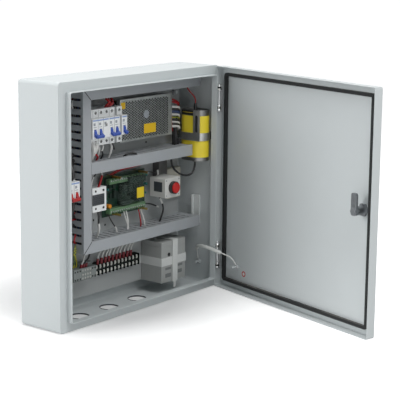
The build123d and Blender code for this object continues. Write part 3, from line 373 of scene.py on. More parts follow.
def drawn_metal():
    """Bare or plated metal: fine drawn lines with cloudy patches."""
    tree, given, result = group("Drawn Metal", [
        ("Colour", "Color", (0.6, 0.6, 0.6, 1.0)), ("Roughness", "Float", 0.3),
        ("Line Scale", "Vector", (60.0, 900.0, 900.0))], surface_outputs)
    place = node(tree, "TexCoord").outputs["Object"]
    drawn = node(tree, "Mapping", Vector=place, Scale=given["Line Scale"])
    lines = node(tree, "TexNoise", Vector=drawn.outputs[0], Scale=1.0, Detail=4.0).outputs["Fac"]
    cloud = node(tree, "TexNoise", Vector=place, Scale=60.0, Detail=4.0).outputs["Fac"]
    value = ranged(tree, cloud, 0.3, 0.7, 0.86, 1.06)
    toned = node(tree, "HueSaturation", Value=value, Color=given["Colour"])
    swing = ranged(tree, lines, 0.3, 0.7, -0.08, 0.12)
    feed(tree, result["Colour"], toned.outputs[0])
    feed(tree, result["Roughness"], maths(tree, "ADD", swing, given["Roughness"]))
    feed(tree, result["Height"], lines)
    return tree


skin_group = coated_skin()
metal_group = drawn_metal()
dust_colour = tone(196, 193, 186)


def dressed(name, effect, values, relief, **shader):
    """A material with one effect group feeding one shader."""
    finish = bpy.data.materials.new(name)
    finish.use_nodes = True
    tree = finish.node_tree
    tree.nodes.clear()
    skin = node(tree, "Group", {"node_tree": effect})
    for socket, value in values.items():
        skin.inputs[socket].default_value = value
    bump = node(tree, "Bump", Strength=0.6, Distance=relief * mm, Height=skin.outputs["Height"])
    body = node(tree, "BsdfPrincipled", Base_Color=skin.outputs["Colour"],
                Roughness=skin.outputs["Roughness"], Normal=bump.outputs[0], **shader)
    node(tree, "OutputMaterial", Surface=body.outputs[0])
    finishes[name] = finish
    return tree


def coat(name, colour, rough, grain, smudge=0.1, relief=0.05, dust=0.12, **shader):
    values = {"Colour": tone(*colour), "Dust Colour": dust_colour, "Roughness": rough,
              "Grain Scale": grain, "Smudge": smudge, "Dust": dust}
    return dressed(name, skin_group, values, relief, **shader)


def metal(name, colour, rough, lines=(60.0, 900.0, 900.0)):
    values = {"Colour": tone(*colour), "Roughness": rough, "Line Scale": lines}
    return dressed(name, metal_group, values, 0.02, Metallic=1.0)


plain_coats = {  # colour, roughness, grain scale, smudge
    "plate_paint": ((172, 175, 175), 0.45, 800.0, 0.08),
    "bracket_paint": ((96, 95, 94), 0.5, 900.0, 0.1),
    "duct_plastic": ((164, 168, 172), 0.5, 1200.0, 0.06),
    "device_shell": ((240, 242, 242), 0.42, 1600.0, 0.06),
    "box_shell": ((214, 214, 210), 0.42, 1400.0, 0.1),
    "receiver_shell": ((206, 202, 188), 0.48, 1200.0, 0.1),
    "lever_blue": ((62, 92, 182), 0.35, 1600.0, 0.1),
    "lever_red": ((186, 34, 38), 0.35, 1600.0, 0.1),
    "button_red": ((196, 36, 34), 0.3, 1400.0, 0.1),
    "test_key": ((150, 152, 150), 0.45, 1600.0, 0.1),
    "black_moulding": ((34, 35, 36), 0.42, 1500.0, 0.2),
    "dark_moulding": ((66, 70, 74), 0.45, 1500.0, 0.12),
    "terminal_moulding": ((128, 134, 132), 0.5, 1400.0, 0.14),
    "terminal_green": ((98, 132, 96), 0.42, 1400.0, 0.1),
    "coil_orange": ((222, 138, 36), 0.4, 1400.0, 0.1),
    "part_teal": ((38, 104, 100), 0.4, 1600.0, 0.1),
    "wire_red": ((152, 18, 26), 0.36, 600.0, 0.1),
    "wire_black": ((30, 30, 32), 0.4, 600.0, 0.1),
    "wire_white": ((218, 218, 215), 0.4, 600.0, 0.1),
    "wire_blue": ((44, 62, 104), 0.38, 600.0, 0.1),
    "lug_red": ((116, 24, 33), 0.4, 900.0, 0.1),
    "label_yellow": ((236, 190, 30), 0.45, 1400.0, 0.06),
    "patch_yellow": ((232, 202, 40), 0.4, 1400.0, 0.06),
    "label_white": ((224, 224, 220), 0.5, 1400.0, 0.08),
    "field_grey": ((158, 164, 170), 0.5, 1400.0, 0.1),
    "field_dim": ((118, 121, 121), 0.5, 1400.0, 0.1),
    "field_blue": ((142, 164, 208), 0.5, 1400.0, 0.06),
    "deep_shadow": ((22, 23, 24), 0.7, 1400.0, 0.2),
    "disc_red": ((196, 40, 44), 0.42, 1400.0, 0.06),
}
for name, values in plain_coats.items():
    coat(name, *values)
# The second is a lighter copy of the cabinet paint, for the wall bracket: painted light.
for name, colour in (("cabinet_paint", (206, 212, 213)), ("lit_cabinet_paint", (224, 228, 227))):
    coat(name, colour, 0.42, 700.0, smudge=0.05, relief=0.07, dust=0.0)
for name, colour in (("chip_black", (48, 58, 54)), ("strip_black", (30, 36, 33))):
    coat(name, colour, 0.7, 1600.0, smudge=0.2, relief=0.0, dust=0.0, Specular_IOR_Level=0.15)
for name, colour, rough in (("pale_tin", (226, 226, 219), 0.3),
                            ("dull_tin", (176, 177, 172), 0.34)):
    coat(name, colour, rough, 1600.0, smudge=0.12, dust=0.0, Metallic=0.25)
coat("pale_zinc", (214, 216, 217), 0.28, 1400.0, smudge=0.12, dust=0.0, Metallic=0.45)
coat("seal_foam", (30, 32, 33), 0.85, 420.0, smudge=0.3, relief=0.35, dust=0.2)
coat("sleeve_yellow", (248, 224, 62), 0.32, 500.0, smudge=0.08, relief=0.04)
coat("battery_case", (164, 166, 164), 0.46, 1100.0, smudge=0.08, relief=0.06)
coat("bond_sleeve", (238, 240, 236), 0.42, 300.0, relief=0.15)
metal("supply_steel", (176, 178, 176), 0.36)
metal("zinc_plate", (188, 190, 192), 0.3)
metal("bright_steel", (222, 223, 224), 0.2)
metal("bright_nickel", (250, 251, 250), 0.14)
metal("brass", (196, 164, 92), 0.3)
metal("cast_zinc", (146, 149, 152), 0.36, lines=(300.0, 300.0, 300.0))
for name, colour, rough in (("can_steel", (138, 138, 136), 0.42),
                            ("strap_steel", (172, 173, 172), 0.38)):
    metal(name, colour, rough, lines=(900.0, 900.0, 60.0))


def recolour(tree, colour):
    feed(tree, tree.nodes["Principled BSDF"].inputs["Base Color"], colour)


def striped_wire():
    """Green insulation with yellow bands, as an earth wire has."""
    tree = coat("wire_earth", (160, 152, 44), 0.38, 600.0)
    place = node(tree, "TexCoord").outputs["Object"]
    bands = node(tree, "TexWave", {"bands_direction": "DIAGONAL"}, Vector=place, Scale=75.0)
    edge = node(tree, "ValToRGB", Fac=bands.outputs["Fac"])
    edge.color_ramp.interpolation = "CONSTANT"
    green, yellow = edge.color_ramp.elements
    green.color = tone(36, 84, 42)
    yellow.position = 0.45
    yellow.color = tone(160, 154, 44)
    recolour(tree, mixed(tree, 0.85, tree.nodes["Group"].outputs["Colour"], edge.outputs["Color"]))


def circuit_board():
    """Green lacquer over copper runs, with pale solder pads."""
    tree = coat("circuit_board", (16, 46, 34), 0.34, 1500.0, smudge=0.2)
    place = node(tree, "TexCoord").outputs["Object"]
    flat = node(tree, "Mapping", Vector=place, Rotation=(math.pi / 2, 0.0, 0.0))
    runs = node(tree, "TexBrick", {"offset": 0.37, "squash": 0.6, "squash_frequency": 3},
                Vector=flat.outputs[0], Scale=105.0, Mortar_Size=0.014,
                Color1=(0.0, 0.0, 0.0, 1.0), Color2=(0.12, 0.12, 0.12, 1.0),
                Mortar=(1.0, 1.0, 1.0, 1.0))
    pads = node(tree, "TexVoronoi", Vector=place, Scale=240.0, Randomness=0.35)
    dots = ranged(tree, pads.outputs["Distance"], 0.13, 0.16, 0.75, 0.0)
    lacquer = tree.nodes["Group"].outputs["Colour"]
    copper = mixed(tree, runs.outputs["Color"], lacquer, tone(22, 58, 40))
    recolour(tree, mixed(tree, dots, copper, tone(84, 94, 84)))


def strap_web():
    """Woven webbing: two sets of crossing threads."""
    tree = coat("strap_web", (234, 236, 234), 0.7, 900.0, smudge=0.08)
    place = node(tree, "TexCoord").outputs["Object"]
    threads = [node(tree, "TexWave", {"bands_direction": way}, Vector=place, Scale=140.0)
               for way in ("X", "Z")]
    weave = maths(tree, "MULTIPLY", *(thread.outputs["Fac"] for thread in threads))
    recolour(tree, mixed(tree, weave, tone(206, 208, 206), tree.nodes["Group"].outputs["Colour"]))
    bump = tree.nodes["Bump"]
    bump.inputs["Distance"].default_value = 0.25 * mm
    feed(tree, bump.inputs["Height"], weave)


def clear_sheet():
    """Clear plastic that shows the board behind it, with a faint haze."""
    coat("clear_sheet", (176, 196, 182), 0.08, 200.0, relief=0.0, dust=0.0, Alpha=0.02, IOR=1.0)


striped_wire()
circuit_board()
strap_web()
clear_sheet()

solid_finishes = {
    "cabinet_paint": ["cabinet_shell", "door_panel"],
    "lit_cabinet_paint": ["wall_bracket"],
    "plate_paint": ["mounting_plate"],
    "zinc_plate": ["plate_nuts", "din_rails"],
    "pale_zinc": ["hinge_body_leaves", "hinge_door_leaves", "wall_earth_nut", "door_earth_nut"],
    "bright_steel": ["hinge_pins"],
    "cast_zinc": ["lock_barrel", "lock_nut", "lock_cam"],
    "seal_foam": ["door_gasket"],
    "duct_plastic": ["duct_left", "duct_top", "duct_middle", "duct_lower",
                     "cover_left", "cover_top", "cover_middle", "cover_lower"],
    "device_shell": ["breaker_rcd", "breaker_double", "breaker_single", "breaker_left",
                     "contactor_body"],
    "lever_blue": ["toggle_rcd", "toggle_double", "toggle_single"],
    "lever_red": ["toggle_left"],
    "test_key": ["test_button"],
    "supply_steel": ["psu_chassis", "psu_cover"],
    "black_moulding": ["psu_terminals", "can_boot", "button_bezel"],
    "can_steel": ["can_body"],
    "strap_steel": ["can_strap"],
    "sleeve_yellow": ["can_sleeves"],
    "wire_red": ["can_lead"],
    "wire_black": ["can_cable"],
    "bond_sleeve": ["bonding_lead"],
    "circuit_board": ["board"],
    "terminal_green": ["board_terminals"],
    "chip_black": ["board_relays"],
    "strip_black": ["barrier_strip"],
    "coil_orange": ["board_coil"],
    "brass": ["board_pillars"],
    "clear_sheet": ["board_cover"],
    "dark_moulding": ["contactor_front"],
    "bracket_paint": ["button_bracket"],
    "box_shell": ["button_box"],
    "button_red": ["red_button"],
    "receiver_shell": ["receiver"],
    "terminal_moulding": ["grey_terminals"],
    "battery_case": ["battery"],
    "strap_web": ["strap_across", "strap_upright"],
}
for finish, names in solid_finishes.items():
    for name in names:
        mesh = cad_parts[name].data
        mesh.materials.clear()
        mesh.materials.append(finishes[finish])


# Leads that the solids carry, as smooth lines on the same routes.

can_cable_route = [(180, 57, 57.5), (180, 57, 40), (187, 59, 23), (202, 64, 9), (226, 71, 1),
                   (246, 77, 11), (248, 77, 35.9)]
can_lead_route = [(248, 77, 179.5), (248, 77, 189.5), (243, 74, 199.5), (234, 70, 209),
                  (229, 66, 217), (229, 66, 224.5)]
bond_route = [(268, 73, -213), (267, 71, -195), (260, 76, -180), (249, 100, -174),
              (243, 125, -174), (245, 149, -179), (253, 169, -186), (261, 187, -194),
              (261.7, 196, -209)]
can_cable = loom([(2.5, can_cable_route)], "can_cable_run", "wire_black")
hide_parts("can_cable")
can_lead = loom([(1.6, can_lead_route)], "can_lead_run", "wire_red")
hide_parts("can_lead")


def halfway(first, second):
    return [(one + other) / 2 for one, other in zip(first, second)]


def bonding_run():
    """A thin core from stud to stud and a white sleeve over its middle."""
    sleeved = [halfway(*bond_route[1:3]), *bond_route[2:6], halfway(*bond_route[5:7])]
    for route, radius, name in ((bond_route, 1.5, "bonding_core"),
                                (sleeved, 4.1, "bonding_sleeve")):
        run = wire(route, radius, name)
        settle(run, "bond_sleeve", body=None)
        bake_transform(run)
        if route is bond_route:
            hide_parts("bonding_lead")


bonding_run()


# Hinges: their screws, and the collars on their pins.

def hinge_screws():
    leaf_front = reach("hinge_body_leaves").front
    heights = [middle + side for middle in (195.0, -195.0) for side in (-22.0, 22.0)]
    radius, leaf_right = 2.8, 262.0
    on_body = [(leaf_right, leaf_front, up) for up in heights]
    settle(repeat(cross_screw(radius, 1.4), on_body, "hinge_screws"), "pale_tin")
    on_door = [door_spot(-2.1, -9.1, up) for up in heights]
    screws = repeat(cross_screw(radius, 1.2), on_door, "door_leaf_screws", facing=-door_along)
    settle(screws, "pale_tin", body="door")


def hinge_collars():
    """Bright turned collars near both ends of each hinge pin, with a dark ring in the groove that
    is painted shade.
    """
    def upright(half, radius, name):
        return drum((0.0, 0.0, -half), (0.0, 0.0, half), radius, name, sides=24)

    collar = upright(7.0, 5.8, "collar")
    soften(collar, 1.2)
    groove = upright(2.4, 8.0, "groove")
    cut(groove, upright(4.0, 4.1, "core"))
    cut(collar, groove)
    places = [(hinge_right, hinge_out, up) for up in (221.0, 172.0, -172.0, -221.0)]
    settle(repeat(collar, places, "hinge_collars"), "bright_nickel")
    # Painted shade: a dark ring filling the groove.
    groove_shade = upright(2.3, 5.2, "groove_shade")
    soften(groove_shade, 0.4)
    settle(repeat(groove_shade, places, "hinge_groove_shades"), "deep_shadow")


hinge_screws()
hinge_collars()


# Breakers: clamp screws, plain printed fields, blue strips, and dark lines at the seams between
# poles, which are painted shade.

def clamp_screws():
    """Clamp screws in the breakers' wells, painted black for the shade in the wells, each in a dark
    collar that is painted shade.
    """
    upper_rail, left_rail, well_rise = 157.0, 25.0, 33.0
    well_floor, well_rim = 70.2, 75.4
    poles = [(right, upper_rail) for right in (-125.0, -107.0, -89.0, -71.0, -53.0, -28.0)]
    poles += [(right, left_rail) for right in (-203.0, -185.0)]
    wells = [(right, rail + side) for right, rail in poles for side in (-well_rise, well_rise)]
    floors = [(right, well_floor, up) for right, up in wells]
    settle(repeat(cross_screw(2.3, 1.2), floors, "clamp_screws"), "black_moulding")
    collar = drum(origin, (0.0, 0.3, 0.0), 3.3, "collar")
    cut(collar, drum((0.0, -1.0, 0.0), (0.0, 1.0, 0.0), 2.2, "bore", sides=16))
    rims = [(right, well_rim, up) for right, up in wells]
    settle(repeat(collar, rims, "clamp_well_shades"), "deep_shadow")


def breaker_faces():
    nose, edge = 22.5, 1.2
    shoulder, shoulder_rise, shoulder_half = 16.0, 31.5, 8.8
    strips, fields, seam_shades = [], [], []
    for name, poles in (("breaker_rcd", 3), ("breaker_double", 2), ("breaker_single", 1),
                        ("breaker_left", 2)):
        shell = reach(name)
        front = shell.front
        middle = (shell.foot + shell.head) / 2
        pole = (shell.right - shell.left) / poles
        strips.append(label(front, shell.left + edge, shell.right - edge, middle + nose - 5.0,
                            middle + nose - 1.8, "strip", proud=0.15, corner=0.4))
        for count in range(poles):
            left = shell.left + pole * count + 3.0
            for wide, foot, head, corner in ((6.5, 7.5, 13.5, 0.8), (10.0, 3.2, 4.6, 0.3)):
                fields.append(label(front, left, left + wide, middle + foot, middle + head, "field",
                                    corner=corner))
        # Dark lines along the seams between poles: painted shade.
        for count in range(1, poles):
            line = shell.left + pole * count
            for up, half, face in ((0.0, nose, front),
                                   (shoulder_rise, shoulder_half, front - shoulder),
                                   (-shoulder_rise, shoulder_half, front - shoulder)):
                groove = block((line - 0.35, face + 0.1, middle + up - half),
                               (line + 0.35, face - 0.5, middle + up + half), "seam")
                soften(groove, 0.1, steps=1)
                seam_shades.append(groove)
    settle(gather(strips, "breaker_strips"), "field_blue")
    settle(gather(fields, "breaker_fields"), "field_grey")
    settle(gather(seam_shades, "breaker_seam_shades"), "deep_shadow")


clamp_screws()
breaker_faces()


# Power supply: a pressed cover with a mesh of six-sided holes, a dark sheet behind it that is
# painted shade, labels and screws.

def honeycomb(cell, start, wide, tall, name):
    """A flat sheet of six-sided cells, looking forward, that covers a span from its start."""
    side = cell / math.sqrt(3.0)
    right, out, up = start
    pair = []
    for over, above in ((0.0, 0.0), (1.5 * side, cell / 2)):
        put_down()
        middle = spot(right - side + over, out, up - cell + above)
        bpy.ops.mesh.primitive_circle_add(vertices=6, radius=side * mm, fill_type="NGON",
                                          location=middle,
                                          rotation=(math.pi / 2, math.pi / 6, 0.0))
        pair.append(bpy.context.object)
        bpy.ops.object.transform_apply(location=True, rotation=True, scale=True)
    sheet = gather(pair, name)
    column, spare = 3.0 * side, 3
    for count, shift in ((int(wide / column) + spare, rightward * column),
                         (int(tall / cell) + spare, upward * cell)):
        work(sheet, "ARRAY", count=count, use_relative_offset=False, use_constant_offset=True,
             constant_offset_displace=shift * mm)
    choose(sheet, "VERT", lambda corner: True)
    bpy.ops.mesh.remove_doubles(threshold=0.05 * mm)
    put_down()
    return sheet


def supply_mesh():
    """The cover: its middle cells opened, trimmed to size, with a skirt all round."""
    cover = reach("psu_cover")
    sheet, cell, web, skirt, near = 1.2, 5.86, 0.75, 8.8, 0.01
    open_left, open_right = cover.left + 5.0, cover.right - 13.0
    open_foot, open_head = cover.foot + 5.0, cover.head - 4.5
    piece = honeycomb(cell, (cover.left, cover.front - sheet, cover.foot),
                      cover.right - cover.left, cover.head - cover.foot, "supply_mesh")
    choose(piece, "FACE", lambda face: open_left < face.center.x / mm < open_right
           and open_foot < face.center.z / mm < open_head)
    bpy.ops.mesh.inset(thickness=web * mm, depth=0.0, use_individual=True)
    bpy.ops.mesh.delete(type="FACE")
    for place, way in (((cover.left, 0.0, 0.0), -rightward), ((cover.right, 0.0, 0.0), rightward),
                       ((0.0, 0.0, cover.foot), -upward), ((0.0, 0.0, cover.head), upward)):
        bpy.ops.mesh.select_all(action="SELECT")
        bpy.ops.mesh.bisect(plane_co=spot(*place), plane_no=way, clear_outer=True)
    put_down()
    sides = ((0, cover.left), (0, cover.right), (2, cover.foot), (2, cover.head))
    choose(piece, "EDGE", lambda edge: any(
        all(abs(end[axis] / mm - bound) < near for end in ends_of(piece, edge))
        for axis, bound in sides))
    bpy.ops.mesh.extrude_region_move(TRANSFORM_OT_translate={"value": -forward * skirt * mm})
    bpy.ops.mesh.select_all(action="SELECT")
    bpy.ops.mesh.remove_doubles(threshold=0.02 * mm)
    bpy.ops.mesh.normals_make_consistent(inside=False)
    put_down()
    work(piece, "SOLIDIFY", thickness=sheet * mm, offset=1.0)
    settle(piece, "supply_steel")
    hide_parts("psu_cover")


def supply_labels():
    front = reach("psu_cover").front
    for name, sides, corner in (("supply_label", (71.0, 114.0, 123.0, 145.5), 1.5),
                                ("supply_tag", (-9.5, 5.0, 188.0, 203.0), 0.8)):
        plate = label(front, *sides, name, proud=0.3, sunk=0.2, corner=corner)
        settle(plate, "label_yellow")
    right, up = 79.5, 168.5
    disc = drum((right, front - 0.2, up), (right, front + 0.4, up), 9.5, "supply_disc", sides=32)
    soften(disc, 0.2, steps=1)
    step_face(disc, forward, 3.0, -0.15)
    settle(disc, "field_grey")


def supply_painted_shade():
    """A dark sheet close behind the mesh: painted shade where the supply's works lie in shadow."""
    cover = reach("psu_cover")
    margin = 4.0
    # Painted shade: a dark sheet just behind the mesh.
    shade_sheet = block((cover.left + margin, cover.front - 3.0, cover.foot + margin),
                   (cover.right - margin, cover.front - 3.8, cover.head - margin), "supply_painted_shade")
    soften(shade_sheet, 0.2, steps=1)
    settle(shade_sheet, "deep_shadow")


def supply_screws():
    strip = reach("psu_terminals")
    middle, pitch = (strip.foot + strip.head) / 2, 8.3
    heads = [(strip.left + 9.0, strip.front - 7.0, middle + step * pitch) for step in range(-4, 5)]
    settle(repeat(slot_screw(2.9, 2.0), heads, "supply_screws"), "bright_steel")


supply_mesh()
supply_labels()
supply_painted_shade()
supply_screws()


# Control board: chips, tall parts, terminal screws and the plain patch on the clear cover.

chip_sizes = [  # right, up, width, height, thickness
    (-40, 12, 8, 16, 2.5), (-27, 8, 10, 8, 3), (-38, -12, 10, 10, 2.5), (-8, 18, 14, 6, 3),
    (2, -30, 16, 22, 2.5), (40, -24, 24, 10, 9), (60, -36, 26, 8, 12), (-24, -22, 6, 12, 3),
    (26, 8, 58, 15, 20), (4, -40, 34, 9, 18), (-30, -4, 9, 9, 5), (-16, 2, 8, 14, 6),
    (-14, -22, 9, 18, 7),
]
capacitor_sizes = [  # right, up, radius, height
    (-44, 4, 2.6, 9), (-36, 2, 2.6, 9), (-44, -24, 3.2, 11), (-22, 22, 2.4, 8),
    (96, 20, 3.4, 12), (96, -2, 3.4, 12), (96, -24, 2.6, 9),
]


def board_parts():
    front = reach("board").front
    chips, cans = [], []
    for right, up, wide, tall, thick in chip_sizes:
        chip = block((right, front + thick, up), (right + wide, front, up + tall), "chip")
        soften(chip, 0.4)
        step_face(chip, forward, 0.8, -0.2)
        chips.append(chip)
    settle(gather(chips, "board_chips"), "chip_black")
    for right, up, radius, tall in capacitor_sizes:
        can = drum((right, front, up), (right, front + tall, up), radius, "can")
        soften(can, 0.5)
        step_face(can, forward, 0.7, -0.3)
        cans.append(can)
    settle(gather(cans, "board_capacitors"), "part_teal")


def four_corners(shell, side, end):
    """Places on a front face, in from its sides and its ends."""
    return [(right, shell.front, up) for right in (shell.left + side, shell.right - side)
            for up in (shell.foot + end, shell.head - end)]


def board_screws():
    rows = reach("board_terminals")
    count, pitch, side, end = 16, 7.6, 6.0, 4.5
    places = [(rows.left + side + pitch * step, rows.front, up)
              for up in (rows.foot + end, rows.head - end) for step in range(count)]
    settle(repeat(slot_screw(2.0, 0.5), places, "board_clamps"), "zinc_plate")
    cover = reach("board_cover")
    screws = repeat(cross_screw(2.2, 1.4), four_corners(cover, 5.0, 5.4), "cover_screws")
    settle(screws, "zinc_plate")
    patch = label(cover.front, 41.0, 66.0, -27.0, -2.0, "cover_patch", proud=0.2, sunk=0.1,
                  corner=2.0)
    settle(patch, "patch_yellow")


board_parts()
board_screws()


# Contactor: a ridged dark face between its pale ends, which have dark screw wells that are painted
# shade.

def contactor_face():
    slot = reach("contactor_front")
    wide, count, margin, half = 39.0, 5, 3.0, 0.7
    back, right = slot.back, slot.left + wide
    plate = block((slot.left, back + 1.0, slot.foot), (right, back - 0.6, slot.head), "plate")
    soften(plate, 0.5)
    ridges = [plate]
    gap = (slot.head - slot.foot) / (count + 1)
    for step in range(1, count + 1):
        up = slot.foot + gap * step
        ridge = block((slot.left + margin, back + 2.4, up - half),
                      (right - margin, back + 0.8, up + half), "ridge")
        soften(ridge, 0.4)
        ridges.append(ridge)
    face = gather(ridges, "contactor_face")
    settle(face, "dark_moulding")
    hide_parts("contactor_front")


def contactor_well_shades():
    shell = reach("contactor_body")
    places = [(right, shell.front, up) for right in (shell.left + 11.0, shell.right - 9.0)
              for up in (shell.foot + 8.0, shell.head - 8.0)]
    # Painted shade: dark rings where the screw wells lie in shadow.
    dark_wells(places, "contactor_well_shades", radius=2.7, rise=0.3, rim=0.5, sink=0.25, sides=20,
               root=0.3)


contactor_face()
contactor_well_shades()


# Push button box: corner screws, and a dark port in its side whose darkness is painted shade.

def button_details():
    shell = reach("button_box")
    screws = repeat(cross_screw(2.0, 0.8), four_corners(shell, 5.0, 5.0), "button_box_screws")
    settle(screws, "zinc_plate")
    # Painted shade: a dark inset patch for the recessed port.
    port = block((shell.left - 0.4, shell.front - 9.0, shell.foot + 14.0),
                 (shell.left + 0.4, shell.back + 13.0, shell.head - 9.0), "button_box_port_shade")
    soften(port, 0.3, steps=1)
    step_face(port, -rightward, 2.0, -0.25)
    settle(port, "dark_moulding")


button_details()


# Terminals at the foot: plates, screws, red lugs and their white leads; then the battery.

def strip_details():
    strip = reach("barrier_strip")
    pitch, poles, wired = 12.8, 12, 10
    seat, plate_face, plate_half, end = 36.0, 41.6, 2.7, 3.0
    middles = [strip.left + 0.9 + pitch * (step + 0.5) for step in range(poles)]
    plates = []
    for right in middles:
        plate = block((right - plate_half, plate_face, strip.foot + end),
                      (right + plate_half, seat, strip.head - end), "plate")
        soften(plate, 0.2, steps=1)
        plates.append(plate)
    settle(gather(plates, "strip_plates"), "pale_tin")
    heads = [(right, plate_face, up) for right in middles
             for up in (strip.foot + 7.0, strip.head - 7.5)]
    settle(repeat(cross_screw(2.5, 1.6), heads, "strip_screws"), "pale_tin")
    lugs, leads = [], []
    for count, right in enumerate(middles[:wired]):
        lean = (count % 3 - 1) * 0.8
        top = right + 1.0 + lean
        lug = drum((right, 44.0, -170.0), (top, 45.0, -156.0), 3.3, "lug", sides=14)
        soften(lug, 0.8)
        lugs.append(lug)
        leads.append((1.8, [(top, 45.0, -157.0), (top + 1.0, 46.0, -149.0),
                            (right + 4.0 + 2.0 * lean, 50.0, -140.0), (right + 5.0, 55.0, -130.0),
                            (right + 5.0, 56.0, -118.0)]))
    settle(gather(lugs, "strip_lugs"), "lug_red")
    loom(leads, "strip_leads", "wire_white")


def rail_terminal_details():
    """Clamp screws on the wired slices, and small dark wells that are painted shade on the others.
    """
    block_row = reach("grey_terminals")
    slices = 9
    pitch = (block_row.right - block_row.left) / slices
    middles = [block_row.left + pitch * (step + 0.5) for step in range(slices)]
    rows = (-168.5, -178.5, -187.0)
    heads = [(right, block_row.front, up) for right in middles[3:7] for up in rows]
    screws = repeat(slot_screw(2.6, 1.0), heads, "rail_terminal_screws")
    settle(screws, "dull_tin")
    places = [(right, block_row.front, up) for right in middles[:3] + middles[7:]
              for up in rows[::2]]
    dark_wells(places, "rail_terminal_well_shades", radius=2.2, rise=0.3, rim=0.5, sink=0.2, sides=16)


def rail_lugs():
    """Red crimped ends on the rail terminals."""
    lugs = []
    for right in (-138.3, -130.1, -121.9):
        lug = drum((right, 55.0, -166.0), (right + 1.0, 58.5, -154.5), 3.0, "end", sides=14)
        soften(lug, 0.7)
        lugs.append(lug)
    settle(gather(lugs, "rail_lugs"), "lug_red")


def battery_details():
    """The black plug on the battery's face and four plain blank fields."""
    front = reach("battery").front
    right, up = 133.8, -176.5
    plug = drum((right, front - 0.3, up), (right, front + 1.2, up), 4.6, "battery_plug", sides=28)
    soften(plug, 0.4)
    step_face(plug, forward, 1.6, -0.8)
    settle(plug, "black_moulding")
    fields = [label(front, *sides, "field", sunk=0.2)
              for sides in ((121, 142, -214, -208), (121, 142, -233, -223),
                            (168, 186, -212, -206), (168, 184, -229, -220))]
    settle(gather(fields, "battery_fields"), "field_dim")


strip_details()
rail_terminal_details()
battery_details()


# Loose wiring between the devices and the ducts: radius and route of each lead.

red_leads = [
    (2.8, [(-64, 62, 196), (-64, 68, 202), (-60, 71, 207), (-55, 70, 210), (-52, 64, 216),
           (-52, 58, 228)]),
    (2.8, [(-49, 62, 196), (-50, 68, 203), (-54, 72, 208), (-59, 71, 212), (-61, 64, 218),
           (-61, 58, 228)]),
    (2.8, [(-57, 62, 196), (-56, 69, 201), (-50, 73, 205), (-45, 72, 209), (-43, 65, 216),
           (-44, 58, 228)]),
    (2.4, [(-107, 73, 98), (-102, 75, 93), (-97, 73, 88), (-95, 64, 78)]),
    (2.5, [(-93, 66, 14), (-93, 73, 24), (-89, 74, 35), (-83.5, 72, 45)]),
    (2.2, [(180, 43, 193), (188, 48, 193), (197, 53, 190), (208, 54, 184), (218, 50, 178),
           (221, 42, 172)]),
    (2.2, [(180, 43, 186), (190, 49, 187), (202, 54, 183), (213, 53, 177), (219, 46, 170),
           (220, 40, 160)]),
    (1.4, [(183, 45, 202), (185, 51, 194), (186, 52, 160), (187, 52, 132), (190, 50, 121),
           (196, 49, 114)]),
    (2.0, [(-203, 58, -14), (-203, 62, -30), (-190, 66, -42), (-170, 64, -46), (-156, 58, -46)]),
    (2.0, [(-185, 58, -14), (-185, 62, -24), (-178, 66, -30), (-168, 64, -32), (-156, 58, -32)]),
    (2.0, [(-203, 58, 64), (-203, 62, 78), (-190, 66, 86), (-170, 64, 86), (-156, 58, 84)]),
    (2.0, [(-158, 60, -80), (-168, 68, -84), (-174, 70, -92), (-168, 66, -100), (-156, 58, -100)]),
    (1.8, [(72, 46, -62), (72, 50, -72), (68, 56, -84), (66, 60, -94), (66, 58, -106)]),
    (1.5, [(-24, 42, 34), (-14, 46, 41), (4, 50, 46), (40, 52, 47), (76, 53, 46), (85, 51, 52),
           (87, 48, 64)]),
    (1.5, [(-16, 42, 33), (-6, 45, 39), (14, 48, 43.5), (44, 49, 44), (64, 49, 45), (73, 47, 53),
           (75, 45, 64)]),
]
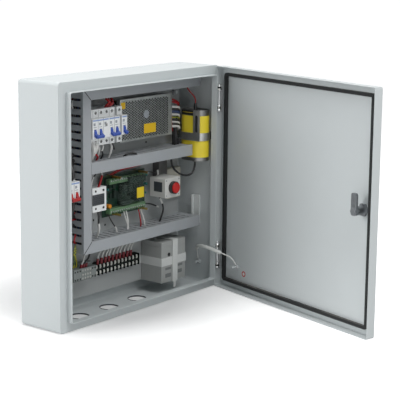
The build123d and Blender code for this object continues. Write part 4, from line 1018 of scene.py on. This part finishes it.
black_leads = [
    (2.4, [(-28, 58, 196), (-28, 60, 203), (-34, 62, 206), (-42, 62, 205), (-47, 60, 212),
           (-47, 58, 228)]),
    (2.2, [(-125, 58, 196), (-125, 58, 212), (-123, 56, 228)]),
    (2.2, [(-107, 58, 196), (-107, 58, 212), (-105, 56, 228)]),
    (2.0, [(-79, 67, 100), (-76, 68, 94), (-75, 66, 88), (-75, 58, 76)]),
    (2.4, [(-38, 56, 119), (-40, 64, 112), (-39, 67, 104), (-37, 67, 99)]),
    (2.6, [(-16, 72, 74), (-13, 79, 84), (-5, 84, 87), (7, 86, 86.5), (18, 86.5, 84),
           (24, 82, 78), (26, 74, 70)]),
    (4.6, [(-203, 72, 48), (-203, 80, 52), (-203, 81, 66), (-197, 76, 84), (-180, 66, 98),
           (-160, 56, 100)]),
    (4.6, [(-186, 72, 48), (-186, 80, 52), (-187, 81, 64), (-184, 74, 78), (-172, 64, 86),
           (-158, 56, 88)]),
    (4.6, [(-203, 72, 2), (-203, 80, -1), (-203, 80, -14), (-197, 76, -34), (-180, 66, -56),
           (-160, 56, -62)]),
    (4.6, [(-186, 72, 2), (-186, 80, -1), (-187, 80, -12), (-184, 74, -26), (-172, 64, -38),
           (-158, 56, -42)]),
    (1.5, [(-94, 58, 62), (-95, 65, 52), (-100, 67, 48), (-106, 67, 43)]),
    (2.2, [(-95, 66, -32), (-95, 73, -44), (-99, 76, -55), (-100.5, 77, -64)]),
    (1.6, [(-32, 44, -58), (-30, 48, -68), (-26, 54, -80), (-22, 58, -88)]),
    (1.9, [(88, 44, 27), (102, 51, 27), (118, 52, 22), (136, 50, 15)]),
    (1.9, [(88, 44, -50), (104, 51, -51), (120, 52, -57), (136, 50, -63.5)]),
    (2.2, [(133, 58, -34), (135, 61, -44), (144, 62, -60), (146, 62, -72), (140, 61, -88),
           (136, 56, -106)]),
    (2.2, [(122, 50, -138), (128, 56, -134), (146, 58, -132), (168, 58, -132), (182, 54, -136)]),
    (2.2, [(-129, 57, -155), (-125, 61, -149), (-114, 61, -140), (-108, 58, -118)]),
    (7.0, [(202, 50, 124), (202, 50, 108), (202, 50, 92), (203, 49, 74)]),
    (4.5, [(209, 56, 96), (209, 57, 90), (207, 54, 82), (206, 50, 74)]),
]
white_leads = [
    (2.0, [(-60, 64, 212), (-56, 65, 218), (-52, 62, 228)]),
    (5.6, [(-117, 70, 124), (-117, 77, 117), (-116, 78, 109), (-113, 70, 97), (-111, 58, 78)]),
    (5.6, [(-106, 70, 124), (-106, 77, 118), (-107, 78, 111), (-108, 70, 99), (-108, 58, 78)]),
    (1.7, [(-84, 58, 119), (-84, 66, 112), (-87, 68, 101), (-90, 67, 90), (-91, 58, 76)]),
    (1.7, [(-72, 58, 119), (-72, 66, 112), (-75, 68, 104), (-79, 67, 98)]),
    (2.4, [(-43, 60, 114), (-43, 66, 107), (-46, 67, 99), (-48, 66, 91), (-49, 58, 76)]),
    (2.2, [(-83.5, 72, 44), (-80, 70, 51), (-77, 62, 64)]),
    (1.6, [(-105, 67, 44), (-110, 67, 38), (-111, 66, 28), (-111, 62, 16)]),
    (2.5, [(-100.5, 77, -63), (-98, 77, -70), (-95, 74, -82), (-92, 60, -104)]),
    (1.6, [(-121, 60, -56), (-118, 66, -70), (-112, 67, -80), (-106, 58, -104)]),
    (2.0, [(-23, 57, -86), (-20, 60, -93), (-17, 58, -106)]),
    (1.8, [(20, 46, -58), (21, 50, -74), (23, 57, -90), (25, 58, -106)]),
    (1.8, [(28, 46, -58), (27, 52, -74), (22, 58, -88), (18, 58, -106)]),
    (1.8, [(80, 46, -62), (80, 50, -72), (80, 57, -84), (82, 58, -106)]),
    (2.3, [(134, 50.5, 15.5), (138, 50, 14), (140, 49, 17), (141, 47, 25)]),
    (2.3, [(132, 50.5, -62), (138, 50, -64.5), (143, 48, -66)]),
    (2.5, [(134.5, 60.5, -42), (138, 62, -49), (141, 62, -55)]),
    (1.9, [(-137, 57, -156), (-135, 61, -149), (-131, 61, -139), (-127, 58, -118)]),
    (1.5, [(-158, 56, 222), (-167, 62, 220), (-170, 63, 213), (-166, 60, 206), (-156, 54, 204)]),
]
earth_leads = [
    (2.0, [(-156, 60, -104), (-166, 66, -108), (-172, 68, -118), (-170, 66, -132),
           (-160, 58, -148), (-158, 52, -160)]),
    (2.0, [(-156, 60, -110), (-164, 66, -114), (-168, 68, -124), (-163, 64, -136),
           (-152, 58, -148), (-150, 52, -160)]),
]
blue_leads = []


# The supply's output leads: stubs one above another, which turn back and down into a black sleeve.

def supply_lead(radius, up):
    return radius, [(180, 43, up + 1.5), (190, 49, up + 1), (203, 55, up), (212, 56, up - 2),
                    (216, 50, up - 8), (211, 43, max(up - 26, 118)), (204, 46, 116),
                    (202, 50, 108)]


for leads, stubs in ((white_leads, ((2.8, 173), (2.8, 154.5), (2.4, 136), (3.4, 125.5))),
                     (black_leads, ((2.6, 167), (2.6, 142), (2.2, 131))),
                     (blue_leads, ((3.0, 161.5),)), (earth_leads, ((2.0, 147.5),))):
    leads += [supply_lead(*stub) for stub in stubs]


# Leads lying in the ducts, which show between the fingers; most are black, which is real wiring
# that also stands in as painted shade for the ducts' dark insides.

def lay_in_duct(name, upright):
    duct = reach(name)
    stops, end_gap, radius = 9, 6, 3.4
    bed = [(-7, 34), (0, 33), (7, 35), (-6, 45), (2, 44), (7, 54), (-7, 57), (0, 62), (6, 70),
           (-5, 75)]
    # Mostly black: real leads, and also painted shade for the ducts' dark insides.
    shades = [black_leads] * 4 + [red_leads, black_leads, black_leads, blue_leads, black_leads,
                                  black_leads]
    length = max(duct.right - duct.left, duct.head - duct.foot) - 2 * end_gap
    for count, ((over, out), shade) in enumerate(zip(bed, shades)):
        route = []
        for stop in range(stops):
            along = end_gap + (stop / (stops - 1)) * length
            over_here = over + 1.6 * math.sin(2.1 * stop + 1.7 * count)
            out_here = out + 1.8 * math.cos(1.3 * stop + 2.3 * count)
            if upright:
                place = ((duct.left + duct.right) / 2 + over_here, out_here, duct.foot + along)
            else:
                place = (duct.left + along, out_here, (duct.foot + duct.head) / 2 + over_here)
            route.append(place)
        shade.append((radius, route))


lay_in_duct("duct_left", True)
for duct_name in ("duct_top", "duct_middle", "duct_lower"):
    lay_in_duct(duct_name, False)
loom(red_leads, "red_leads", "wire_red")
loom(black_leads, "black_leads", "wire_black")
loom(white_leads, "white_leads", "wire_white")
loom(blue_leads, "blue_leads", "wire_blue")
loom(earth_leads, "earth_leads", "wire_earth")
rail_lugs()


# Dark rings at the plate holes, dark lines across the mitred covers' joints and dark rings round
# the cable holes, all painted shade.

def plate_hole_shades():
    plate_front = 24.0
    # Painted shade: dark rings where the plate's holes lie in shadow.
    places = [(-61.0, plate_front, -69.5), (-21.5, plate_front, -87.0), (125.0, plate_front, 92.5)]
    dark_wells(places, "plate_hole_shades", radius=2.6, rise=0.25, rim=0.4, sink=0.2, sides=18)


def mitre_shade_lines():
    """A dark line across each mitred corner, a hair proud of the covers: painted shade for the
    joint's gap.
    """
    shade_lines = []
    for inner_up, turn in ((223.0, 1.0), (-98.0, -1.0)):
        shade_line = block((-18.5, 89.6, -0.9), (18.5, 90.15, 0.9), "shade_line")
        soften(shade_line, 0.1, steps=1)
        middle = spot(-150.0, 0.0, inner_up + turn * 13.0)
        shade_line.data.transform(Matrix.Translation(middle)
                             @ Matrix.Rotation(turn * math.pi / 4, 4, "Y"))
        shade_lines.append(shade_line)
    settle(gather(shade_lines, "mitre_shade_lines"), "deep_shadow")


def hole_edge_shades():
    """Thin dark rings round the cable holes in the floor: painted shade for the holes' edges."""
    foot = reach("cabinet_shell").foot
    edge_shade = drum((0.0, 0.0, foot - 0.4), (0.0, 0.0, foot + 2.6), 23.0, "edge_shade", sides=48)
    cut(edge_shade, drum((0.0, 0.0, foot - 2.0), (0.0, 0.0, foot + 4.0), 21.8, "bore", sides=48))
    places = [(right, 62.0, 0.0) for right in (-148.5, -49.5, 49.5)]
    settle(repeat(edge_shade, places, "hole_edge_shades"), "dark_moulding")


plate_hole_shades()
mitre_shade_lines()
hole_edge_shades()


# Can: a black band on its left side, a painted reflection of the dark cabinet in its metal; a tie;
# and a dark sheet behind the clip's slot, which is painted shade.

def half_band(foot, head, proud, name):
    """Part of a ring on the can's left side, a little proud of its oval wall."""
    can = reach("can_body")
    right, out = (can.left + can.right) / 2, (can.back + can.front) / 2
    end_radius = (can.right - can.left) / 2
    stretch = (can.front - can.back) / 2 - end_radius
    ring = drum((right, out, foot), (right, out, head), end_radius + proud, name, sides=48)
    middle = spot(right, out, 0.0).y
    for way in (-1.0, 1.0):
        choose(ring, "VERT", lambda corner: math.copysign(1.0, corner.co.y - middle) == way)
        bpy.ops.transform.translate(value=(0.0, way * stretch * mm, 0.0))
        put_down()
    ending = right - 21.0
    choose(ring, "FACE", lambda face: True)
    bpy.ops.mesh.bisect(plane_co=spot(ending, 0.0, 0.0), plane_no=rightward, clear_outer=True,
                        use_fill=True)
    put_down()
    soften(ring, 0.3)
    return ring


def can_details():
    # Painted reflection: a black band where the can's metal mirrors the dark cabinet.
    settle(half_band(153.0, 164.5, 0.5, "can_painted_reflection"), "black_moulding")
    settle(half_band(159.0, 159.9, 1.0, "can_tie"), "sleeve_yellow")
    # Painted shade: a dark sheet behind the clip's slot.
    gap = block((224.0, 106.5, 110.0), (224.7, 93.5, 157.0), "clip_slot_shade")
    soften(gap, 0.3, steps=1)
    settle(gap, "deep_shadow")


can_details()


# Door: the plain round sticker by the earth stud.

def door_sticker():
    along, face, up = 88.0, -15.0, -228.0
    ring = drum(door_spot(along, face - 0.2, up), door_spot(along, face + 0.3, up), 7.0,
                "door_sticker", sides=32)
    step_face(ring, door_inward, 2.6, -0.1)
    settle(ring, "disc_red", body="door")
    heart = drum(door_spot(along, face, up), door_spot(along, face + 0.35, up), 4.2,
                 "door_sticker_heart", sides=28)
    soften(heart, 0.1, steps=1)
    settle(heart, "label_white", body="door")


door_sticker()


# Plain studio: a pale floor whose glow is dimmed under the cabinet as painted shade, a white
# surround and soft lamps.

pure_white = (1.0, 1.0, 1.0, 1.0)


def background_rays(tree):
    """One for rays that should see the plain white surround."""
    rays = node(tree, "LightPath").outputs
    seen = maths(tree, "MAXIMUM", rays["Is Camera Ray"], rays["Is Glossy Ray"])
    return maths(tree, "MAXIMUM", seen, rays["Is Transmission Ray"])


def pale_floor():
    """Paper close under the cabinet: a dim glow below it, which is painted shade, and a bright glow
    beyond it; it also catches a soft shadow.
    """
    floor_size, floor_height = 80.0, -0.2757
    put_down()
    bpy.ops.mesh.primitive_plane_add(size=floor_size, location=(0.0, 0.0, floor_height))
    ground = bpy.context.object
    ground.name = "pale_floor"
    paper = bpy.data.materials.new("floor_paper")
    paper.use_nodes = True
    tree = paper.node_tree
    tree.nodes.clear()
    matt = node(tree, "BsdfDiffuse", Color=(0.8, 0.8, 0.8, 1.0)).outputs[0]
    away = node(tree, "VectorMath", {"operation": "LENGTH"})
    feed(tree, away.inputs[0], node(tree, "TexCoord").outputs["Object"])
    # Painted shade: the glow is weak near the cabinet and strong far from it.
    glow_with_painted_shade = ranged(tree, away.outputs["Value"], 0.17, 0.6, 0.08, 0.9)
    glow = node(tree, "Emission", Color=pure_white, Strength=glow_with_painted_shade).outputs[0]
    both = joined(tree, "AddShader", None, matt, glow)
    choice = joined(tree, "MixShader", None, background_rays(tree), matt, both)
    node(tree, "OutputMaterial", Surface=choice)
    ground.data.materials.append(paper)


def surround():
    world = bpy.data.worlds.new("surround")
    bpy.context.scene.world = world
    world.use_nodes = True
    tree = world.node_tree
    tree.nodes.clear()
    lighting = node(tree, "Background", Color=(0.93, 0.97, 1.0, 1.0), Strength=0.16).outputs[0]
    white = node(tree, "Background", Color=pure_white, Strength=1.0).outputs[0]
    choice = joined(tree, "MixShader", None, background_rays(tree), lighting, white)
    node(tree, "OutputWorld", Surface=choice)


def lamp(name, place, size, power):
    aim = Vector((0.0, -0.1, 0.0))
    light = bpy.data.lights.new(name, "AREA")
    light.size = size
    light.energy = power
    holder = bpy.data.objects.new(name, light)
    bpy.context.collection.objects.link(holder)
    turn = (aim - place).to_track_quat("-Z", "Y").to_matrix().to_4x4()
    holder.matrix_world = Matrix.Translation(place) @ turn


def camera():
    """The photograph's viewpoint, as fitted to the cabinet's edges."""
    place = Vector((-2.2115327, -2.0421479, 0.5758052))
    yaw, pitch, roll = 0.8847921669786775, 0.18366430637620726, 0.007289438769217115
    ahead = Vector((math.sin(yaw) * math.cos(pitch), math.cos(yaw) * math.cos(pitch),
                    -math.sin(pitch)))
    level = Vector((math.cos(yaw), -math.sin(yaw), 0.0))
    above = level.cross(ahead)
    side = level * math.cos(roll) + above * math.sin(roll)
    above = above * math.cos(roll) - level * math.sin(roll)
    lens = bpy.data.cameras.new("viewpoint")
    lens.lens = 116.806
    lens.sensor_width = 36.0
    lens.shift_x = 0.0508
    lens.shift_y = -0.0525
    viewer = bpy.data.objects.new("viewpoint", lens)
    bpy.context.collection.objects.link(viewer)
    turn = Matrix((side, above, -ahead)).transposed().to_4x4()
    viewer.matrix_world = Matrix.Translation(place) @ turn
    bpy.context.scene.camera = viewer


pale_floor()
surround()
lamp("left_softbox", Vector((-2.4, 1.0, 0.9)), 1.6, 38.0)
lamp("top_softbox", Vector((-0.4, -1.5, 1.9)), 1.4, 25.0)
lamp("front_fill", Vector((0.9, -3.0, 0.5)), 2.2, 16.0)
lamp("overhead", Vector((0.0, 0.5, 2.0)), 1.2, 21.0)
camera()
bpy.context.scene.view_settings.view_transform = "Standard"
